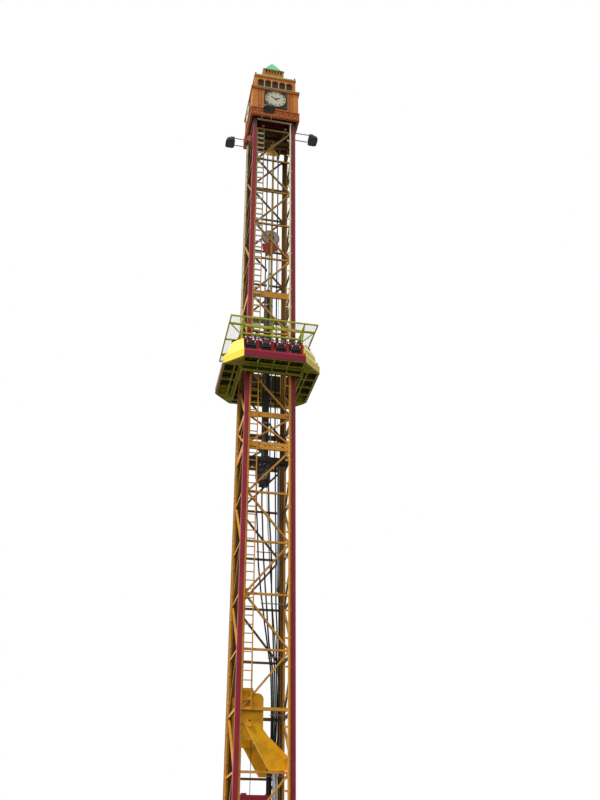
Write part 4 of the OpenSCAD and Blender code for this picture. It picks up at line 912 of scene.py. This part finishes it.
def make_lantern():
    """Frames and dark panes in the row of small windows, corner strips, and seams and eaves on the roof."""
    half = LANTERN_HALF
    windows = 6
    pitch = 2 * (half - 0.05) / windows
    z0 = EAVE_Z - 0.25
    foot_half = EAVE_HALF - 0.012
    z_foot, z_apex = EAVE_Z + 0.032, EAVE_Z + ROOF_H - 0.004
    eave = ((0.4405, 0.034), (0.505, -0.002), (0.505, -0.016), (0.47, -0.01), (0.4405, 0.004))
    frames, panes, trims = shapes(3)
    for _ in sides(frames, panes, trims):
        for x in row(windows, pitch):
            frames.frame(x, 0.05, z0 - 0.01, z0 + 0.2, 0.011, 0.008, -half)
        panes.slab(0, half - 0.06, z0 - 0.03, z0 + 0.22, -half + 0.052, 0.007)
        frames.slab(0, half + 0.01, LANTERN_Z, LANTERN_Z + 0.07, -half + 0.001, 0.013)
        frames.slab(0, half + 0.006, z0 - 0.07, z0 - 0.045, -half + 0.001, 0.009)
        for x in (-half + 0.028, half - 0.028):
            frames.slab(x, 0.03, LANTERN_Z + 0.07, EAVE_Z, -half + 0.001, 0.007)
        for x in row(7, 0.115):
            foot = Vector((x, -foot_half, z_foot))
            share = abs(foot.x) / foot_half
            top = Vector((foot.x, -foot_half * share, mix(z_apex, z_foot, share)))
            trims.tube([foot, top.lerp(foot, 0.03)], 0.006, 5)
        trims.tube([(-foot_half, -foot_half, z_foot), (0, 0, z_apex - 0.006)], 0.011, 6)
        trims.rings([[(e * r, -r, EAVE_Z + z) for r, z in eave] for e in (-1, 1)])
    frames.piece("lantern_frames", "wall_paint", bevel=0.002)
    panes.piece("lantern_panes", "dark_paint")
    trims.piece("roof_trims", "mint_paint")


# Floodlights: the side each hangs on, its place along it and its distance from the mast
LAMPS = ((0, -0.385, 1.68), (1, -0.655, 1.775), (3, -0.23, 1.905))
LAMP_Z = HEAD_Z - 0.25
# Rings of the body from the glass up: height, share of the width and the depth, and shift back
LAMP_RINGS = ((0.0, 1.0, 1.0, 0.0), (0.045, 1.0, 1.0, 0.0), (0.1, 0.94, 0.96, 0.0), (0.17, 0.86, 0.88, 0.01),
              (0.235, 0.74, 0.72, 0.03), (0.28, 0.55, 0.48, 0.05), (0.298, 0.38, 0.28, 0.06))


def make_floodlights():
    """Cast bodies with cooling fins, a framed glass on the underside, and a yoke on the two arms."""
    w, d = 0.26, 0.21
    bodies, glass, metal = shapes(3)
    for k, x, out in LAMPS:
        bodies.at = glass.at = metal.at = side(k) @ Matrix.Translation((x, -out, LAMP_Z))
        bodies.rings([[(px, py + shift, z) for px, py in rounded(w * sx, d * sy, 0.45, 28)]
                      for z, sx, sy, shift in LAMP_RINGS])
        for fin in row(9, 0.046):
            bodies.slab(fin, 0.003, 0.1, 0.285, d - 0.02, d - 0.02)
        glass.box((-w + 0.03, -d + 0.03, -0.001), (w - 0.03, d - 0.03, 0.006))
        for s in (-1, 1):
            yoke_x = s * (w - 0.01)
            metal.tube([(yoke_x, 0.0, 0.12), (yoke_x, 0.1, 0.15), (s * 0.21, d - 0.01, 0.16)], 0.011, 8)
            metal.bolt((s * (w - 0.012), 0.0, 0.12), (s, 0, 0), 0.016, 0.014)
    body = bodies.piece("floodlight_bodies", "lamp_body")
    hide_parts("floodlights")
    glass.piece("floodlight_glass", "lamp_glass")
    metal.piece("floodlight_yokes", "zinc_plate")


# Gondola: canopy wires, plates and ribs, pads and restraints
SEAT_X = row(SEATS, SEAT_PITCH)
# Ribs of a corner panel, each from one point to another, measured from where two benches would meet
CORNER_RIBS = (((0.035, 0.036), (0.6, 0.036)), ((0.036, 0.035), (0.036, 0.6)),
               ((0.6, 0.036), (0.036, 0.6)), ((0.04, 0.04), (0.31, 0.31)),
               ((0.22, 0.036), (0.22, 0.4)), ((0.036, 0.22), (0.4, 0.22)))


def make_canopy_mesh():
    """Crossed wires on the canopy ring, in place of the thicker bars of the frame model."""
    pitch, r = 0.075, 0.0022
    y0, y1 = CARRIAGE - 0.029, RING_HALF - 0.01
    z = RING_Z + 0.05
    wires = Shape()
    for k in sides(wires):
        reach = y0 - 0.0003 if k % 2 else y1
        n = round(2 * reach / pitch)
        for i in range(n + 1):
            x = mix(-reach + r, reach - r, i / n)
            wires.box((x - r, -y1, z + r), (x + r, -y0, z + 3 * r))
        m = round((y1 - y0) / pitch)
        for i in range(m + 1):
            y = mix(-y1 + r, -y0 - r, i / m)
            wires.box((-reach, y - r, z), (reach, y + r, z + 2 * r))
    mesh = wires.piece("canopy_wires", "zinc_plate", "gondola")
    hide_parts("canopy_mesh")


def make_undersides():
    """Stiffened plates under the seats and on the carriage, dark as painted shade, and ribs under seats and
    corner panels.
    """
    half_rib, low, high = 0.012, -0.028, 0.0005
    panel, gap = 0.55, 0.006
    plates, ribs = shapes(2)
    for k in sides(plates, ribs):
        for x in SEAT_X:
            rings = []
            for inset, z in ((0.0, 0.3095), (0.0, 0.306), (0.03, 0.3), (0.06, 0.3), (0.075, 0.304)):
                hx = SEAT_PITCH / 2 - 0.012 - inset
                s0, s1 = 0.012 + inset, 0.59 - inset
                corners = ((-hx, s0), (hx, s0), (hx, s1), (-hx, s1))
                rings.append([bench_point(x + across, s, z) for across, s in corners])
            plates.rings(rings)
            ribs.box(bench_point(x - half_rib, 0.57, 0.215), bench_point(x + half_rib, 0.03, 0.3))
        corner = Matrix.Translation((BENCH_HALF, BENCH_HALF, GONDOLA_Z))
        ribs.at = Matrix.Rotation(math.radians(90 * k), 4, "Z") @ corner
        for a, b in CORNER_RIBS:
            along = (Vector(b) - Vector(a)).normalized() * half_rib
            nx, ny = -along.y, along.x
            ribs.rings([[(x - nx, y - ny, low), (x + nx, y + ny, low), (x + nx, y + ny, high),
                         (x - nx, y - ny, high)] for x, y in (a, b)])
        # Dark plates on the carriage sides: painted shade that closes the gaps between the under beams
        for z0, z1 in ((18.61, 18.75), (18.81, 19.04)):
            for x in row(4, panel):
                plates.slab(x, panel / 2 - gap, z0, z1, -CARRIAGE + 0.02, 0.006)
    plates.piece("seat_shade_plates", "underside_shade_plate", "gondola")
    ribs.piece("corner_ribs", "underside_paint", "gondola")


def pad_grid(w, d, t, crown, channels):
    """A crowned pad with a flat underside: sides pull in between the corners, edges are rounded.

    Each channel crosses the pad at a share of its half depth.
    """
    n, pinch, depth, width = 18, 0.04, 0.006, 0.045
    top, low = [], []
    for j in range(n + 1):
        v = math.sin(math.pi / 2 * (2 * j / n - 1))
        for i in range(n + 1):
            u = math.sin(math.pi / 2 * (2 * i / n - 1))
            x = w / 2 * u * (1 - pinch * (1 - v * v) * abs(u) ** 3)
            y = d / 2 * v * (1 - pinch * (1 - u * u) * abs(v) ** 3)
            full = max(0.0, (1 - abs(u) ** 5) * (1 - abs(v) ** 5)) ** 0.5
            z = t * (0.35 + 0.65 * full) + crown * (1 - u * u) * (1 - v * v)
            for c in channels:
                z -= depth * full * math.exp(-((v - c) / width) ** 2)
            top.append((x, y, z))
            low.append((x, y, t * 0.35 * (1 - full)))
    m = n + 1
    under = len(top)
    faces = []
    for a in (j * m + i for j in range(n) for i in range(n)):
        b = a + under
        faces += [(a, a + 1, a + m + 1, a + m), (b, b + m, b + m + 1, b + 1)]
    rim = [*range(n), *range(n, n * m, m), *range(n * m + n, n * m, -1), *range(n * m, 0, -m)]
    for p, q in zip(rim, rim[1:] + rim[:1]):
        faces.append((p, p + under, q + under, q))
    return top + low, faces


def make_seat_pads(k):
    """A seat cushion and a back pad in each seat of one bench."""
    turn = Matrix.Rotation(math.pi, 4, "Z")
    lean = Matrix.Rotation(math.radians(90 - 2.1), 4, "X")
    # Kind, distance from the carriage and height, turn, size and crown, and channels
    pads = (("cushion", 0.345, PAN_RISE + 0.001, turn, (0.48, 0.43, 0.045, 0.014), (-0.25, 0.35)),
            ("back_pad", 0.082, 0.745, lean, (0.44, 0.56, 0.04, 0.012), (-0.3, 0.1, 0.5)))
    for i, x in enumerate(SEAT_X):
        for kind, s, rise, tilt, size, channels in pads:
            pad = Shape()
            pad.at = side(k) @ Matrix.Translation(bench_point(x, s, rise)) @ tilt
            pad.add(*pad_grid(*size, channels))
            ob = pad.piece("%s_%s_%d" % (SIDES[k], kind, i + 1), "pad_foam", "gondola", smooth=True)


# Restraints: half the width between a seat's two arms, how far out they reach, and their bend
ARM_X = 0.145
ARM_OUT = 0.2
ARM_DOWN = 0.47
ARM_BEND = 0.11


def arm_path():
    """The line of a restraint arm in its own plane: out from the pivot, round the bend and down."""
    path = [(0.0, 0.0), (0.04, 0.0)]
    path += arc((ARM_OUT - ARM_BEND, -ARM_BEND), ARM_BEND, 90, 0, 10)
    return path + steps((ARM_OUT, -ARM_BEND), (ARM_OUT, -ARM_DOWN), 8)[1:]


def shoulder_pad(x, line):
    """Rings of a moulded pad along a restraint arm, full in the middle and slim at the ends."""
    last = len(line) - 1
    across = Vector((1, 0, 0))
    rings = []
    for i, (p, z) in enumerate(line):
        swell = 0.62 + 0.38 * math.sin(math.pi * min(1, 0.06 + 0.94 * i / last)) ** 0.45
        a, b = line[max(0, i - 1)], line[min(last, i + 1)]
        along = Vector((0, -(b[0] - a[0]), b[1] - a[1])).normalized()
        up = across.cross(along)
        rings.append([Vector((x, -p, z)) + across * c + up * s
                      for c, s in rounded(0.04 * swell, 0.033 * swell, 0.75, 16)])
    return rings


def make_restraints(k):
    """Bent tubes with moulded shoulder pads and a roll across, on one turning tube for each bench."""
    name = SIDES[k] + "_restraints"
    place = side(k) @ Matrix.Translation(bench_point(0, PIVOT_S, PIVOT_RISE))
    path = arm_path()
    grip = ((-0.2, -0.395), (-0.222, -0.385), (-0.229, -0.355), (-0.229, -0.295), (-0.222, -0.27),
            (-0.2, -0.262))
    tubes = Shape()
    tubes.at = place
    reach = BENCH_HALF - 0.012
    tubes.tube([(-reach, 0, 0), (reach, 0, 0)], 0.022, 20)
    for x in (seat + s * ARM_X for seat in SEAT_X for s in (-1, 1)):
        tubes.tube([(x, -p, z) for p, z in path], 0.018)
        tubes.lathe(collar(0.033, 0.036, 0.024, 0.02), (x, 0, 0), (1, 0, 0), 20)
        tubes.tube([(x, y, z) for y, z in grip], 0.009, 8)
    frame_tubes = tubes.piece(name + "_tubes", "plain_steel", name, smooth=True)
    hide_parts(name)
    n = 14
    radii = [0.044 * (0.55 + 0.45 * math.sin(math.pi * (0.04 + 0.92 * j / n)) ** 0.4) for j in range(n + 1)]
    for i, seat in enumerate(SEAT_X):
        pads = Shape()
        pads.at = place
        for s in (-1, 1):
            pads.rings(shoulder_pad(seat + s * ARM_X, path[1:]))
        ends = [(seat + s * 0.178, -ARM_OUT, -ARM_DOWN) for s in (-1, 1)]
        pads.tube(steps(*ends, n), radii, 18)
        ob = pads.piece("%s_pads_%d" % (name, i + 1), "pad_foam", name, smooth=True)


# Floor, background and lights
def make_floor():
    r = 60
    mat = bpy.data.materials.new("floor_plain")
    g = Graph(mat)
    seen = g.node("ShaderNodeLightPath", {}).outputs["Is Camera Ray"]
    shader = g.node("ShaderNodeBsdfDiffuse", {"Color": g.blend(seen, grey(0.18), (0.76, 0.76, 0.75, 1))})
    g.node("ShaderNodeOutputMaterial", {"Surface": shader.outputs[0]})
    me = bpy.data.meshes.new("floor")
    me.from_pydata([(-r, -r, 0), (r, -r, 0), (r, r, 0), (-r, r, 0)], [], [(0, 1, 2, 3)])
    me.materials.append(mat)
    ob = add_object("floor", me)


def make_background():
    """White where it is seen, mirrored or seen through; else a soft light that grows with height."""
    world = bpy.data.worlds.new("studio")
    bpy.context.scene.world = world
    g = Graph(world)
    height = g.height(g.node("ShaderNodeTexCoord", {}).outputs["Generated"])
    soft = g.node("ShaderNodeBackground", {"Color": (0.93, 0.96, 1.0, 1),
                                           "Strength": g.span(height, -0.3, 0.55, 0.12, 0.5)})
    plain = g.node("ShaderNodeBackground", {"Color": grey(1.0), "Strength": 1.0})
    path = g.node("ShaderNodeLightPath", {}).outputs
    seen = g.math("MAXIMUM", path["Is Camera Ray"], path["Is Glossy Ray"])
    seen = g.math("MAXIMUM", seen, path["Is Transmission Ray"])
    both = g.node("ShaderNodeMixShader", {"Fac": seen, 1: soft.outputs[0], 2: plain.outputs[0]})
    g.node("ShaderNodeOutputWorld", {"Surface": both.outputs[0]})


def make_lights():
    """Suns by azimuth, elevation, power and angular size."""
    suns = (("key", -74, 48, 3.6, 12), ("fill", -14, 35, 0.55, 60), ("rim", 160, 40, 0.5, 40))
    for name, az, el, power, size in suns:
        data = bpy.data.lights.new(name, "SUN")
        data.energy = power
        data.angle = math.radians(size)
        lamp = add_object(name, data)
        lamp.rotation_euler = (math.radians(90 - el), 0, math.radians(az))
        lamp.location = (0, 0, 45)


make_camera()
make_flange_bolts()
make_gussets()
make_brace_legs()
make_rail_fixings()
make_base_fittings()
make_hoses()
make_drive_details()
make_cables()
make_riser_pipes()
make_treads()
make_guide_bar()
make_hinge_caps()
make_wheel_details()
make_head_steel()
make_dials()
make_band()
make_cornice()
make_arcade()
make_lantern()
make_floodlights()
make_canopy_mesh()
make_undersides()
for side_number in range(4):
    make_seat_pads(side_number)
    make_restraints(side_number)
make_floor()
make_background()
make_lights()
bpy.context.scene.view_settings.view_transform = "Standard"
